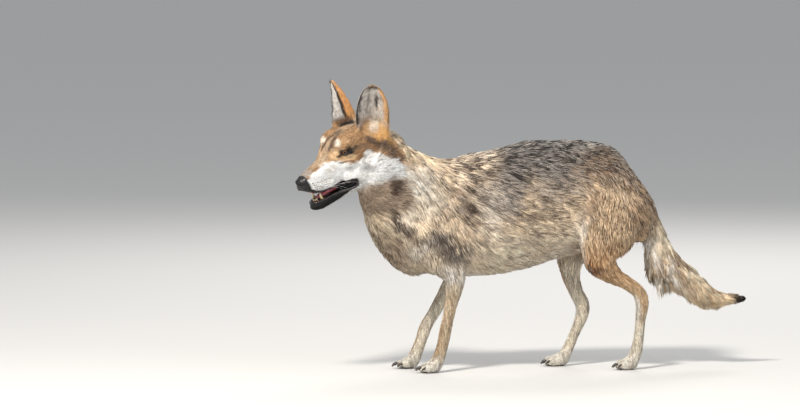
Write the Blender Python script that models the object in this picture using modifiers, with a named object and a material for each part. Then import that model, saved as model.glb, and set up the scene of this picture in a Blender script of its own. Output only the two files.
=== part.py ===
"""A life-size Mexican wolf in mid stride, its head turned a little to its left and its mouth open.

Metres, +Z up. The wolf faces -X, and its left side is towards -Y. The outline is that of the coat.
The body is modelled whole, from lofted forms that a voxel remesh joins, and then parted with thin
cuts into its named nodes. The origin is on the floor, below the middle of the wolf's box.
"""

import math

import bmesh
import bpy
from mathutils import Matrix, Vector

# Driving dimensions
CUT = 0.0003            # width of the cut between two nodes
WELD = 0.000002         # corners nearer than this count as one
VOXEL = 0.0042          # grid on which the lofted forms are joined
BODY_TRIANGLES = 4200   # of the whole body, before it is parted
LEFT, RIGHT = -1, 1     # the sign of y on each side of the wolf

HEAD_TURN = math.radians(30)    # to the wolf's left, from straight ahead
HEAD_NOD = math.radians(15)     # nose down
HEAD_TILT = math.radians(2)     # left side down
NOSE_TIP = Vector((-0.632, -0.172, 0.537))
HEAD_LENGTH = 0.300
JAW_DROP = math.radians(10)     # how far the mouth is open
MOUTH_BACK, MOUTH_UP = 0.169, -0.044                # the mouth's corner
MOUTH_ROUND = 0.007             # half the height of the mouth at its corner

EYE_RADIUS = 0.0125
EYE_BACK, EYE_OUT, EYE_UP = 0.169, 0.0370, 0.047    # from the nose tip, in the head's own frame
EYE_PROUD = 0.0035      # how far the eyeball's front stands out of the face
EAR_BACK, EAR_OUT, EAR_UP = 0.250, 0.060, 0.086     # middle of the ear's root
EAR_HEIGHT, EAR_WIDTH, EAR_WALL = 0.132, 0.092, 0.011
EAR_SPLAY = math.radians(13)    # leaning outwards
EAR_FACING = math.radians(50)   # opening turned outwards from straight ahead

FLOOR = 0.0
SOLE_SINK = 0.004               # depth of paw that the floor plane trims to a flat

MODEL = bpy.data.collections.new("wolf")
CUTTERS = bpy.data.collections.new("cutters")


# ---------------------------------------------------------------- making and joining meshes


def clear_scene():
    for old in list(bpy.data.objects):
        bpy.data.objects.remove(old, do_unlink=True)
    for group in (MODEL, CUTTERS):
        bpy.context.scene.collection.children.link(group)


def add_object(name, mesh, group=MODEL):
    made = bpy.data.objects.new(name, mesh)
    group.objects.link(made)
    return made


def object_from_bmesh(name, shape, group=MODEL):
    bmesh.ops.recalc_face_normals(shape, faces=shape.faces)
    mesh = bpy.data.meshes.new(name)
    shape.to_mesh(mesh)
    shape.free()
    return add_object(name, mesh, group)


def settle(made):
    """Bakes an object's modifiers into a plain mesh."""
    bpy.context.view_layer.update()
    evaluated = made.evaluated_get(bpy.context.evaluated_depsgraph_get())
    mesh = bpy.data.meshes.new_from_object(evaluated)
    made.modifiers.clear()
    made.data = mesh
    return made


def join(name, pieces):
    """One object with the meshes of several, which are removed."""
    shape = bmesh.new()
    for piece in pieces:
        piece.data.transform(piece.matrix_world)
        shape.from_mesh(piece.data)
        bpy.data.objects.remove(piece, do_unlink=True)
    return object_from_bmesh(name, shape)


def boolean(made, other, operation):
    change = made.modifiers.new(operation.lower(), "BOOLEAN")
    change.operation = operation
    change.object = other
    change.solver = "EXACT"
    return settle(made)


def catmull_rom(rows, steps):
    """Rows of numbers smoothed by a Catmull-Rom curve, with this many steps between two of them."""
    padded = [rows[0]] + list(rows) + [rows[-1]]
    smooth = []
    for before, start, end, after in zip(padded, padded[1:], padded[2:], padded[3:]):
        for step in range(steps):
            t = step / steps
            smooth.append([
                0.5 * (2 * b + (c - a) * t + (2 * a - 5 * b + 4 * c - d) * t * t
                       + (3 * b - a - 3 * c + d) * t ** 3)
                for a, b, c, d in zip(before, start, end, after)
            ])
    return smooth + [list(rows[-1])]


def loft(name, sections, across, sides=28, steps=4, square=2.3):
    """A closed form over sections (x, y, z, half width, rise, drop), upright to the line of their middles.

    The half width lies along `across`. The rise is on the side that `across` turned by a quarter about
    the line's direction points to, and the drop is opposite. `square` above 2 makes boxier slices.
    """
    rows = catmull_rom(sections, steps)
    middles = [Vector(row[:3]) for row in rows]
    shape = bmesh.new()
    rings = []
    for index, row in enumerate(rows):
        along = middles[min(index + 1, len(rows) - 1)] - middles[max(index - 1, 0)]
        along.normalize()
        side = (Vector(across) - along * along.dot(Vector(across))).normalized()
        rise_way = side.cross(along)
        wide, rise, drop = row[3:6]
        ring = []
        for step in range(sides):
            angle = 2 * math.pi * step / sides
            c, s = math.cos(angle), math.sin(angle)
            out = math.copysign(abs(c) ** (2 / square), c) * wide
            high = math.copysign(abs(s) ** (2 / square), s) * (rise if s > 0 else drop)
            ring.append(shape.verts.new(middles[index] + side * out + rise_way * high))
        rings.append(ring)
    for first, second in zip(rings, rings[1:]):
        for step in range(sides):
            following = (step + 1) % sides
            shape.faces.new((first[step], first[following], second[following], second[step]))
    shape.faces.new(rings[0])
    shape.faces.new(rings[-1])
    return object_from_bmesh(name, shape)


def slices(name, sections, sides=32, square=2.3):
    """A closed form over sections (top x, z, widest x, z, bottom x, z, sideways, half width)."""
    rows = catmull_rom(sections, 4)
    shape = bmesh.new()
    rings = []
    for top_x, top_z, mid_x, mid_z, low_x, low_z, aside, wide in rows:
        middle = Vector((mid_x, aside, mid_z))
        top, bottom = Vector((top_x, aside, top_z)), Vector((low_x, aside, low_z))
        ring = []
        for step in range(sides):
            angle = 2 * math.pi * step / sides
            c, s = math.cos(angle), math.sin(angle)
            out = math.copysign(abs(c) ** (2 / square), c) * wide
            edge = top if s > 0 else bottom
            ring.append(shape.verts.new(middle + Vector((0, out, 0))
                                        + (edge - middle) * abs(s) ** (2 / square)))
        rings.append(ring)
    for first, second in zip(rings, rings[1:]):
        for step in range(sides):
            following = (step + 1) % sides
            shape.faces.new((first[step], first[following], second[following], second[step]))
    shape.faces.new(rings[0])
    shape.faces.new(rings[-1])
    return object_from_bmesh(name, shape)


def ball(name, at, radii, frame=None, segments=20):
    """An ellipsoid with these half axes, along the columns of `frame`."""
    shape = bmesh.new()
    bmesh.ops.create_uvsphere(shape, u_segments=segments, v_segments=segments // 2, radius=1)
    place = Matrix.Translation(at) @ (frame or Matrix.Identity(3)).to_4x4() @ Matrix.Diagonal((*radii, 1))
    bmesh.ops.transform(shape, matrix=place, verts=shape.verts)
    return object_from_bmesh(name, shape)


def cone(name, root, tip, radius, sides=6):
    """A tooth or a claw: a slim cone from the middle of its root to its tip."""
    shape = bmesh.new()
    length = (tip - root).length
    bmesh.ops.create_cone(shape, cap_ends=True, segments=sides, radius1=radius, radius2=radius * 0.12,
                          depth=length)
    turn = (tip - root).to_track_quat("Z", "Y").to_matrix().to_4x4()
    bmesh.ops.transform(shape, matrix=Matrix.Translation((root + tip) / 2) @ turn, verts=shape.verts)
    return object_from_bmesh(name, shape)


# ---------------------------------------------------------------- the head's own frame


def head_axes():
    """Forward, left and up of the head, as the columns of a matrix."""
    turn = Matrix.Rotation(HEAD_TURN, 3, "Z")
    nod = Matrix.Rotation(-HEAD_NOD, 3, "Y")
    tilt = Matrix.Rotation(HEAD_TILT, 3, "X")
    straight = Matrix(((-1, 0, 0), (0, -1, 0), (0, 0, 1))).transposed()
    return turn @ nod @ tilt @ straight


HEAD = head_axes()


def in_head(back, out, up):
    """A point given by its distance behind the nose tip, to the left and up, all in the head's frame."""
    return NOSE_TIP + HEAD @ Vector((-back, out, up))


def head_loft(name, sections, **options):
    """A loft along the head, over (back, up, half width, rise, drop) on its middle plane."""
    rows = [(*in_head(back, 0, up), wide, rise, drop) for back, up, wide, rise, drop in sections]
    return loft(name, rows, HEAD.col[1], **options)


def jaw_point(back, out, up):
    """A point of the lower jaw, given as if the mouth were closed, turned down about the jaw's hinge."""
    hinge_back, hinge_up = 0.215, -0.012
    c, s = math.cos(JAW_DROP), math.sin(JAW_DROP)
    ahead, high = hinge_back - back, up - hinge_up
    return in_head(hinge_back - (ahead * c + high * s), out, hinge_up - ahead * s + high * c)


# ---------------------------------------------------------------- forms of the body


def trunk():
    """Rump, loin, ribs and shoulders, from the tail's root to the chest."""
    sections = [
        # x, top, bottom, half width, height of the widest place
        (0.412, 0.452, 0.400, 0.028, 0.430),
        (0.400, 0.480, 0.372, 0.056, 0.440),
        (0.374, 0.520, 0.355, 0.082, 0.450),
        (0.345, 0.556, 0.352, 0.096, 0.470),
        (0.314, 0.592, 0.352, 0.103, 0.490),
        (0.282, 0.618, 0.350, 0.106, 0.490),
        (0.248, 0.632, 0.342, 0.103, 0.485),
        (0.202, 0.638, 0.328, 0.098, 0.475),
        (0.147, 0.640, 0.310, 0.098, 0.460),
        (0.091, 0.640, 0.297, 0.105, 0.450),
        (0.035, 0.636, 0.281, 0.113, 0.440),
        (-0.026, 0.622, 0.271, 0.119, 0.430),
        (-0.082, 0.610, 0.264, 0.119, 0.430),
        (-0.138, 0.601, 0.262, 0.114, 0.430),
        (-0.194, 0.588, 0.262, 0.104, 0.425),
        (-0.244, 0.555, 0.270, 0.088, 0.415),
        (-0.290, 0.500, 0.292, 0.060, 0.390),
        (-0.315, 0.430, 0.315, 0.030, 0.370),
    ]
    return slices("trunk", [(x, top, x, middle, x, bottom, 0, wide)
                            for x, top, bottom, wide, middle in sections])


def neck():
    """The neck and its ruff, bending to the left towards the head."""
    sections = [
        # top x, top z, bottom x, bottom z, sideways, half width
        (-0.082, 0.570, -0.190, 0.300, 0.000, 0.080),
        (-0.143, 0.592, -0.285, 0.272, -0.002, 0.096),
        (-0.192, 0.594, -0.345, 0.306, -0.010, 0.099),
        (-0.233, 0.603, -0.384, 0.352, -0.022, 0.097),
        (-0.268, 0.617, -0.410, 0.400, -0.036, 0.093),
        (-0.302, 0.637, -0.428, 0.446, -0.052, 0.088),
        (-0.336, 0.664, -0.440, 0.492, -0.070, 0.081),
        (-0.366, 0.680, -0.450, 0.530, -0.084, 0.070),
    ]
    return slices("neck", [(tx, tz, (tx + bx) / 2, (tz + bz) / 2, bx, bz, aside, wide)
                           for tx, tz, bx, bz, aside, wide in sections])


def tail():
    """The tail, streaming back from the rump, with the fringe of long hair below it."""
    sections = [
        # top x, top z, bottom x, bottom z, half width
        (0.380, 0.505, 0.335, 0.470, 0.022),
        (0.394, 0.480, 0.345, 0.440, 0.028),
        (0.418, 0.440, 0.368, 0.390, 0.034),
        (0.435, 0.401, 0.376, 0.330, 0.038),
        (0.449, 0.370, 0.392, 0.268, 0.041),
        (0.472, 0.333, 0.423, 0.236, 0.043),
        (0.498, 0.305, 0.461, 0.222, 0.042),
        (0.532, 0.268, 0.500, 0.196, 0.038),
        (0.569, 0.234, 0.540, 0.173, 0.034),
        (0.603, 0.211, 0.586, 0.172, 0.027),
        (0.646, 0.202, 0.640, 0.175, 0.016),
        (0.675, 0.192, 0.675, 0.182, 0.005),
    ]
    return slices("tail", [(tx, tz, (tx + bx) / 2, (tz + bz) / 2, bx, bz, 0, wide)
                           for tx, tz, bx, bz, wide in sections], sides=20, square=2.0)


def skull_and_muzzle():
    """The head above the mouth."""
    main = head_loft("skull", [
        # back, middle's height, half width, rise, drop
        (0.004, 0.000, 0.010, 0.010, 0.008),
        (0.010, -0.001, 0.0165, 0.013, 0.0125),
        (0.022, -0.003, 0.0215, 0.021, 0.020),
        (0.045, -0.004, 0.0250, 0.030, 0.032),
        (0.075, -0.002, 0.0290, 0.036, 0.041),
        (0.105, 0.002, 0.0350, 0.042, 0.046),
        (0.128, 0.008, 0.0420, 0.050, 0.052),
        (0.148, 0.016, 0.0520, 0.059, 0.058),
        (0.172, 0.024, 0.0640, 0.068, 0.066),
        (0.205, 0.028, 0.0720, 0.075, 0.076),
        (0.238, 0.024, 0.0760, 0.080, 0.080),
        (0.272, 0.012, 0.0740, 0.080, 0.080),
        (0.305, -0.006, 0.0640, 0.072, 0.074),
        (0.330, -0.024, 0.0440, 0.052, 0.056),
    ], sides=32, square=2.5)
    forms = [main]
    for side in (1, -1):
        # brow, cheekbone, cheek muscle, ruff behind the cheek, upper lip, temple, ear's root, nape,
        # jowl, mouth's corner, whisker bed
        forms += [
            ball("brow", in_head(0.155, side * 0.030, 0.064), (0.022, 0.015, 0.013), HEAD),
            ball("cheekbone", in_head(0.178, side * 0.050, 0.014), (0.042, 0.018, 0.020), HEAD),
            ball("cheek", in_head(0.215, side * 0.054, -0.018), (0.055, 0.030, 0.044), HEAD),
            ball("ruff", in_head(0.262, side * 0.068, -0.030), (0.042, 0.028, 0.050), HEAD),
            ball("flew", in_head(0.085, side * 0.021, -0.026), (0.058, 0.012, 0.016), HEAD),
            ball("temple", in_head(0.190, side * 0.036, 0.070), (0.052, 0.030, 0.031), HEAD),
            ball("ear_root", in_head(0.262, side * 0.054, 0.050), (0.044, 0.036, 0.042), HEAD),
            ball("nape", in_head(0.300, side * 0.044, 0.022), (0.046, 0.040, 0.050), HEAD),
            ball("jowl", in_head(0.190, side * 0.040, -0.026), (0.056, 0.029, 0.036), HEAD),
            ball("gape", in_head(0.212, side * 0.026, -0.052), (0.040, 0.030, 0.034), HEAD),
            ball("whisker_bed", in_head(0.032, side * 0.0125, -0.016), (0.023, 0.013, 0.016), HEAD),
        ]
    return forms


def lower_jaw():
    """The lower jaw, dropped open, with the lips' corner and the throat behind it."""
    sections = [
        # back, middle's height with the mouth closed, half width, rise, drop
        (0.028, -0.043, 0.011, 0.010, 0.009),
        (0.036, -0.045, 0.0175, 0.016, 0.014),
        (0.055, -0.047, 0.0210, 0.017, 0.019),
        (0.088, -0.048, 0.0240, 0.017, 0.021),
        (0.125, -0.047, 0.0300, 0.016, 0.022),
        (0.160, -0.044, 0.0380, 0.016, 0.024),
        (0.195, -0.036, 0.0460, 0.024, 0.032),
        (0.235, -0.030, 0.0520, 0.034, 0.044),
    ]
    rows = [(*jaw_point(back, 0, up), wide, rise, drop) for back, up, wide, rise, drop in sections]
    return loft("jaw", rows, HEAD.col[1], sides=28)


def ear_axes(side):
    """The root, the stem's way and the way the cup opens, of the ear on one side."""
    facing = HEAD @ Vector((math.cos(EAR_FACING), side * math.sin(EAR_FACING), 0))
    stem = (HEAD @ Vector((-0.03, side * math.sin(EAR_SPLAY), math.cos(EAR_SPLAY)))).normalized()
    facing = (facing - stem * facing.dot(stem)).normalized()
    return in_head(EAR_BACK, side * EAR_OUT, EAR_UP), stem, facing


def ear(side):
    """A cupped ear: a leaf shape, curled about its own long line, deepest at its root."""
    root, stem, facing = ear_axes(side)
    wide_way = stem.cross(facing)
    rows, columns, buried = 15, 13, 0.030
    shape = bmesh.new()
    grid = []
    for row in range(rows):
        t = row / (rows - 1)
        height = -buried + t * (EAR_HEIGHT + buried)
        reach = max(0.0, height / EAR_HEIGHT)
        # widest a third of the way up, closing to a rounded tip
        half = EAR_WIDTH / 2 * (0.88 + 0.40 * reach * (1 - reach)) * math.sqrt(max(0.0, 1 - reach ** 3.4))
        half = max(half, 0.002)
        curl = 1.45 - 0.95 * reach
        radius = half / math.sin(curl)
        line = []
        for column in range(columns):
            angle = (2 * column / (columns - 1) - 1) * curl
            depth = radius * (1 - math.cos(angle)) - 0.034 * (1 - reach ** 2.2) * math.cos(angle)
            line.append(shape.verts.new(root + stem * height + wide_way * radius * math.sin(angle)
                                        + facing * depth))
        grid.append(line)
    for low, high in zip(grid, grid[1:]):
        for column in range(columns - 1):
            shape.faces.new((low[column], low[column + 1], high[column + 1], high[column]))
    made = object_from_bmesh("ear", shape)
    wall = made.modifiers.new("wall", "SOLIDIFY")
    wall.thickness = EAR_WALL
    wall.offset = 0
    return settle(made)


def limb(name, rows, square=2.1):
    """A leg form over (x, y, z, half width across, reach forwards, reach backwards)."""
    return loft(name, rows, (0, 1, 0), sides=20, square=square)


def paw(side, ball_at, heading, length, width):
    """Four toes and the pad behind them, on the floor. `ball_at` is the middle of the paw's knuckles."""
    ahead = Vector((-math.cos(heading), -math.sin(heading) * 1.0, 0))
    aside = Vector((-ahead.y, ahead.x, 0))
    frame = Matrix((ahead, aside, Vector((0, 0, 1)))).transposed()
    forms = [ball("pad", ball_at + Vector((0, 0, 0.016)) + ahead * (0.10 * length),
                  (0.42 * length, 0.44 * width, 0.021), frame)]
    for place, forward, spread in ((-1.5, 0.38, 9), (-0.5, 0.56, 3), (0.5, 0.56, -3), (1.5, 0.38, -9)):
        turn = Matrix.Rotation(math.radians(-spread), 3, "Z") @ frame
        at = ball_at + ahead * (forward * length) + aside * (place * width * 0.235)
        at = Vector((at.x, at.y, 0.0135))
        forms.append(ball("toe", at, (0.30 * length, 0.135 * width, 0.0175), turn, segments=14))
    return forms


def toe_claws(ball_at, heading, length, width):
    """Four claws, from inside the toes forwards to just above the floor."""
    ahead = Vector((-math.cos(heading), -math.sin(heading), 0))
    aside = Vector((-ahead.y, ahead.x, 0))
    claws = []
    for place, forward in ((-1.5, 0.38), (-0.5, 0.56), (0.5, 0.56), (1.5, 0.38)):
        middle = ball_at + aside * (place * width * 0.235)
        root = middle + ahead * ((forward + 0.20) * length)
        tip = middle + ahead * ((forward + 0.42) * length)
        claws.append(cone("claw", Vector((root.x, root.y, 0.016)), Vector((tip.x, tip.y, 0.005)), 0.0042))
    return claws


# Each leg: its rows for limb(), and its paw's knuckles, heading, length and width
FORE_PAW = (0.062, 0.066)
HIND_PAW = (0.057, 0.058)

LEFT_FORE = [
    (-0.232, -0.062, 0.470, 0.036, 0.060, 0.060),
    (-0.248, -0.078, 0.410, 0.042, 0.062, 0.066),
    (-0.222, -0.084, 0.345, 0.040, 0.058, 0.064),
    (-0.180, -0.082, 0.292, 0.034, 0.048, 0.040),
    (-0.170, -0.078, 0.255, 0.027, 0.031, 0.029),
    (-0.178, -0.075, 0.205, 0.021, 0.022, 0.021),
    (-0.190, -0.073, 0.150, 0.0185, 0.0190, 0.0180),
    (-0.198, -0.072, 0.112, 0.0205, 0.0205, 0.0210),
    (-0.205, -0.071, 0.078, 0.0190, 0.0175, 0.0190),
    (-0.216, -0.071, 0.040, 0.0230, 0.0190, 0.0200),
    (-0.226, -0.071, 0.014, 0.0270, 0.0200, 0.0200),
]
RIGHT_FORE = [
    (-0.208, 0.062, 0.470, 0.036, 0.060, 0.060),
    (-0.238, 0.078, 0.415, 0.042, 0.060, 0.064),
    (-0.198, 0.084, 0.345, 0.040, 0.060, 0.060),
    (-0.148, 0.082, 0.295, 0.034, 0.044, 0.040),
    (-0.144, 0.078, 0.258, 0.027, 0.031, 0.029),
    (-0.174, 0.074, 0.205, 0.021, 0.021, 0.022),
    (-0.207, 0.071, 0.152, 0.0185, 0.0180, 0.0190),
    (-0.228, 0.069, 0.118, 0.0205, 0.0205, 0.0210),
    (-0.240, 0.068, 0.082, 0.0190, 0.0175, 0.0190),
    (-0.255, 0.068, 0.042, 0.0230, 0.0190, 0.0200),
    (-0.266, 0.068, 0.014, 0.0270, 0.0200, 0.0200),
]
LEFT_HIND = [
    (0.268, -0.050, 0.530, 0.045, 0.085, 0.085),
    (0.272, -0.066, 0.470, 0.050, 0.100, 0.092),
    (0.262, -0.077, 0.405, 0.050, 0.094, 0.090),
    (0.246, -0.083, 0.350, 0.044, 0.066, 0.078),
    (0.246, -0.084, 0.305, 0.036, 0.050, 0.052),
    (0.274, -0.082, 0.272, 0.027, 0.032, 0.028),
    (0.312, -0.079, 0.246, 0.020, 0.021, 0.021),
    (0.348, -0.077, 0.219, 0.0200, 0.0190, 0.0210),
    (0.360, -0.076, 0.188, 0.0195, 0.0200, 0.0210),
    (0.357, -0.075, 0.140, 0.0155, 0.0155, 0.0160),
    (0.352, -0.074, 0.092, 0.0155, 0.0150, 0.0160),
    (0.346, -0.073, 0.055, 0.0200, 0.0170, 0.0180),
    (0.336, -0.073, 0.024, 0.0235, 0.0190, 0.0180),
]
RIGHT_HIND = [
    (0.294, 0.050, 0.530, 0.045, 0.085, 0.085),
    (0.288, 0.066, 0.470, 0.050, 0.095, 0.092),
    (0.258, 0.077, 0.410, 0.050, 0.088, 0.088),
    (0.216, 0.083, 0.360, 0.042, 0.062, 0.075),
    (0.188, 0.084, 0.312, 0.034, 0.042, 0.055),
    (0.186, 0.081, 0.262, 0.026, 0.026, 0.032),
    (0.202, 0.077, 0.212, 0.0200, 0.0210, 0.0220),
    (0.220, 0.074, 0.172, 0.0200, 0.0200, 0.0230),
    (0.219, 0.072, 0.142, 0.0185, 0.0190, 0.0200),
    (0.202, 0.071, 0.100, 0.0155, 0.0155, 0.0160),
    (0.186, 0.070, 0.064, 0.0160, 0.0155, 0.0165),
    (0.172, 0.070, 0.034, 0.0215, 0.0170, 0.0180),
    (0.164, 0.070, 0.013, 0.0240, 0.0180, 0.0180),
]
PAWS = {
    "left_fore": (LEFT, Vector((-0.222, -0.071, 0)), 0.05, *FORE_PAW),
    "right_fore": (RIGHT, Vector((-0.263, 0.068, 0)), -0.05, *FORE_PAW),
    "left_hind": (LEFT, Vector((0.332, -0.073, 0)), 0.04, *HIND_PAW),
    "right_hind": (RIGHT, Vector((0.158, 0.070, 0)), -0.06, *HIND_PAW),
}
LEGS = {"left_fore": LEFT_FORE, "right_fore": RIGHT_FORE, "left_hind": LEFT_HIND, "right_hind": RIGHT_HIND}

def whole_body():
    """All the forms joined into one smooth closed skin, and reduced to its share of triangles."""
    forms = [trunk(), neck(), tail(), lower_jaw(), *skull_and_muzzle(), ear(1), ear(-1)]
    for name, rows in LEGS.items():
        forms.append(limb(name, rows))
        forms += paw(*PAWS[name])
    body = join("body", forms)
    grid = body.modifiers.new("grid", "REMESH")
    grid.mode = "VOXEL"
    grid.voxel_size = VOXEL
    ease = body.modifiers.new("ease", "SMOOTH")
    ease.factor = 0.5
    ease.iterations = 4
    settle(body)
    fewer = body.modifiers.new("fewer", "DECIMATE")
    fewer.ratio = BODY_TRIANGLES / (2 * len(body.data.polygons))
    return settle(body)


def mouth_wedge():
    """The open mouth: the space between the lips, narrowing backwards to the mouth's corner."""
    corner = (MOUTH_BACK, MOUTH_UP)
    profile = [in_head(corner[0], 0, corner[1] + MOUTH_ROUND), in_head(-0.03, 0, -0.039),
               jaw_point(-0.03, 0, -0.033), in_head(corner[0], 0, corner[1] - MOUTH_ROUND)]
    shape = bmesh.new()
    ends = [[shape.verts.new(at + HEAD.col[1] * aside) for at in profile] for aside in (-0.1, 0.1)]
    for step in range(4):
        following = (step + 1) % 4
        shape.faces.new((ends[0][step], ends[0][following], ends[1][following], ends[1][step]))
    shape.faces.new(ends[0])
    shape.faces.new(ends[1])
    return as_cutter(object_from_bmesh("mouth_wedge", shape, CUTTERS))


# ---------------------------------------------------------------- parting the body


def as_cutter(made):
    made.hide_render = True
    made.display_type = "WIRE"
    return made


def box(name, middle, frame, size):
    """A cutter: a box with its middle, its axes as the columns of `frame`, and its full sizes."""
    shape = bmesh.new()
    bmesh.ops.create_cube(shape, size=1)
    place = Matrix.Translation(middle) @ frame.to_4x4() @ Matrix.Diagonal((*size, 1))
    bmesh.ops.transform(shape, matrix=place, verts=shape.verts)
    return as_cutter(object_from_bmesh(name, shape, CUTTERS))


def remove(*objects):
    for old in objects:
        bpy.data.objects.remove(old, do_unlink=True)


def biggest_island(made):
    """Drops crumbs that a cut left beside the main body."""
    shape = bmesh.new()
    shape.from_mesh(made.data)
    islands, unseen = [], set(shape.verts)
    while unseen:
        stack, island = [unseen.pop()], []
        while stack:
            vertex = stack.pop()
            island.append(vertex)
            for edge in vertex.link_edges:
                other = edge.other_vert(vertex)
                if other in unseen:
                    unseen.remove(other)
                    stack.append(other)
        islands.append(island)
    islands.sort(key=len)
    for crumb in islands[:-1]:
        bmesh.ops.delete(shape, geom=crumb, context="VERTS")
    shape.to_mesh(made.data)
    shape.free()
    return made


def closed_volume(mesh):
    """The volume of a mesh, or None if it has an open or a shared edge, even one that only nearly meets."""
    shape = bmesh.new()
    shape.from_mesh(mesh)
    bmesh.ops.remove_doubles(shape, verts=shape.verts, dist=WELD)
    volume = shape.calc_volume() if all(edge.is_manifold for edge in shape.edges) else None
    shape.free()
    return volume


def part_off(body, name, at, outwards, **box_sizes):
    """Cuts a node off a body; the plane moves on by a hair wherever a cut would not come out closed."""
    whole = body.data.copy()
    before = closed_volume(whole)
    for step in range(12):
        at_step = Vector(at) + Vector(outwards).normalized() * (0.0007 * step)
        piece = cut_beyond(body, name, at_step, outwards, **box_sizes)
        volumes = closed_volume(piece.data), closed_volume(body.data)
        if all(volumes) and 0.985 * before < sum(volumes) < 1.0001 * before and volumes[0] > 1e-6:
            return biggest_island(piece)
        remove(piece)
        body.data = whole.copy()
    raise RuntimeError(f"no clean cut for {name}")


def cut_beyond(body, name, at, outwards, across=(0, 1, 0), reach=0.5, width=0.5, height=0.5):
    """Cuts off what lies beyond a plane, within a box on its far side."""
    out = Vector(outwards).normalized()
    side = (Vector(across) - out * out.dot(Vector(across))).normalized()
    frame = Matrix((out, side, out.cross(side))).transposed()
    keep = box(f"{name}_keep", Vector(at) + out * (reach / 2 + CUT), frame, (reach, width, height))
    gap = 2 * CUT
    lose = box(f"{name}_lose", Vector(at) + out * (reach / 2), frame,
               (reach + gap, width + gap, height + gap))
    piece = boolean(add_object(name, body.data.copy()), keep, "INTERSECT")
    boolean(body, lose, "DIFFERENCE")
    remove(keep, lose)
    return piece


def recess(body, insert):
    """Cuts a pocket in the body for an insert, with the same gap all round it."""
    whole = body.data.copy()
    before, filled = closed_volume(whole), closed_volume(insert.data)
    for step in range(12):
        grown = as_cutter(add_object("pocket", insert.data.copy(), CUTTERS))
        swell = grown.modifiers.new("swell", "DISPLACE")
        swell.strength = CUT * (1 + 0.13 * step)
        swell.mid_level = 0
        settle(grown)
        boolean(body, grown, "DIFFERENCE")
        remove(grown)
        after = closed_volume(body.data)
        if after and before - 3 * filled - 1e-7 < after <= before * 1.0001:
            return insert
        body.data = whole.copy()
    raise RuntimeError(f"no clean pocket for {insert.name}")


def eye(body, side):
    """An eyeball set in the face, so that only its front shows."""
    outside = in_head(EYE_BACK - 0.06, side * (EYE_OUT + 0.08), EYE_UP + 0.01)
    aim = (in_head(EYE_BACK, side * 0.01, EYE_UP) - outside).normalized()
    found, surface, _, _ = body.ray_cast(outside, aim)
    assert found, "no face in front of the eye"
    name = "left_eye" if side == 1 else "right_eye"
    return ball(name, surface + aim * (EYE_RADIUS - EYE_PROUD), (EYE_RADIUS,) * 3, HEAD, segments=12)


def tongue():
    rows = [(*jaw_point(back, 0, up), wide, rise, drop) for back, up, wide, rise, drop in [
        (0.053, -0.031, 0.005, 0.002, 0.002),
        (0.062, -0.030, 0.009, 0.003, 0.004),
        (0.082, -0.028, 0.014, 0.005, 0.007),
        (0.112, -0.029, 0.015, 0.005, 0.008),
        (0.136, -0.033, 0.014, 0.004, 0.008),
        (0.150, -0.037, 0.010, 0.002, 0.005),
    ]]
    return loft("tongue", rows, HEAD.col[1], sides=10, steps=1, square=2.2)


def teeth():
    """The teeth that show between the lips, all of them in the lower jaw."""
    jaw_up = (jaw_point(0.1, 0, 0.01) - jaw_point(0.1, 0, 0)).normalized()
    made = [cone(f"{word}_lower_canine", jaw_point(0.062, side * 0.0145, -0.038),
                 jaw_point(0.056, side * 0.0180, -0.014), 0.0040) for word, side in (("left", 1), ("right", -1))]
    points = [(jaw_point(0.050 - 0.007 * math.cos(0.5 * place), 0.0034 * place, -0.034), 0.0020,
               0.007, -0.006) for place in (-2.5, -1.5, -0.5, 0.5, 1.5, 2.5)]
    made.append(front_teeth("lower_incisors", points, jaw_up))
    return made


def front_teeth(name, points, height_way):
    """The incisors of one jaw: a curved bar from one side to the other."""
    shape = bmesh.new()
    rings = []
    for at, thick, high, low in points:
        ahead = HEAD.col[0] * thick
        rings.append([shape.verts.new(at + height_way * low - ahead),
                      shape.verts.new(at + height_way * low + ahead),
                      shape.verts.new(at + height_way * high + ahead * 0.5),
                      shape.verts.new(at + height_way * high - ahead * 0.5)])
    for first, second in zip(rings, rings[1:]):
        for step in range(4):
            following = (step + 1) % 4
            shape.faces.new((first[step], first[following], second[following], second[step]))
    shape.faces.new(rings[0])
    shape.faces.new(rings[-1])
    return object_from_bmesh(name, shape)


def part_legs(body, nodes):
    """Lower legs first, then what joins them to the trunk."""
    down = (0, 0, -1)
    for name, (side, knuckles, heading, length, width) in PAWS.items():
        y = -0.1 * side * -1
        fore = "fore" in name
        row = LEGS[name]
        low_name, high_name, foot_name = (("forearm", "upper_arm", "paw") if fore
                                          else ("shank", "thigh", "foot"))
        if fore:
            joint, foot_at = 0.256, 0.064
            spread = (min(r[0] for r in row) - 0.08, max(r[0] for r in row) + 0.09)
            slab = (0.050, 0.440, row[0][0] - 0.080, row[0][0] + 0.135)
        else:
            joint, foot_at = 0.283, (0.170 if side == LEFT else 0.124)
            spread = (min(r[0] for r in row) - 0.09, max(r[0] for r in row) + 0.06)
            slab = (0.054, 0.520, row[4][0] - 0.090, row[0][0] + 0.110)
        middle_x = sum(spread) / 2
        lower = part_off(body, f"{name}_{low_name}", (middle_x, y, joint), down,
                         reach=0.30, width=0.2, height=spread[1] - spread[0])
        foot = part_off(lower, f"{name}_{foot_name}", (middle_x, y, foot_at), down,
                        reach=0.30, width=0.2, height=spread[1] - spread[0])
        inner, top, back_x, front_x = slab
        upper = part_off(body, f"{name}_{high_name}",
                         ((back_x + front_x) / 2, side * inner, (joint - CUT + top) / 2), (0, side, 0),
                         across=(1, 0, 0), reach=0.15, width=front_x - back_x, height=top - joint + CUT)
        for number, claw in enumerate(toe_claws(knuckles, heading, length, width), 1):
            claw.name = f"{name}_claw_{number}"
            recess(foot, claw)
            nodes.append((claw, "claw"))
        nodes += [(lower, "coat"), (foot, "coat"), (upper, "coat")]


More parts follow.
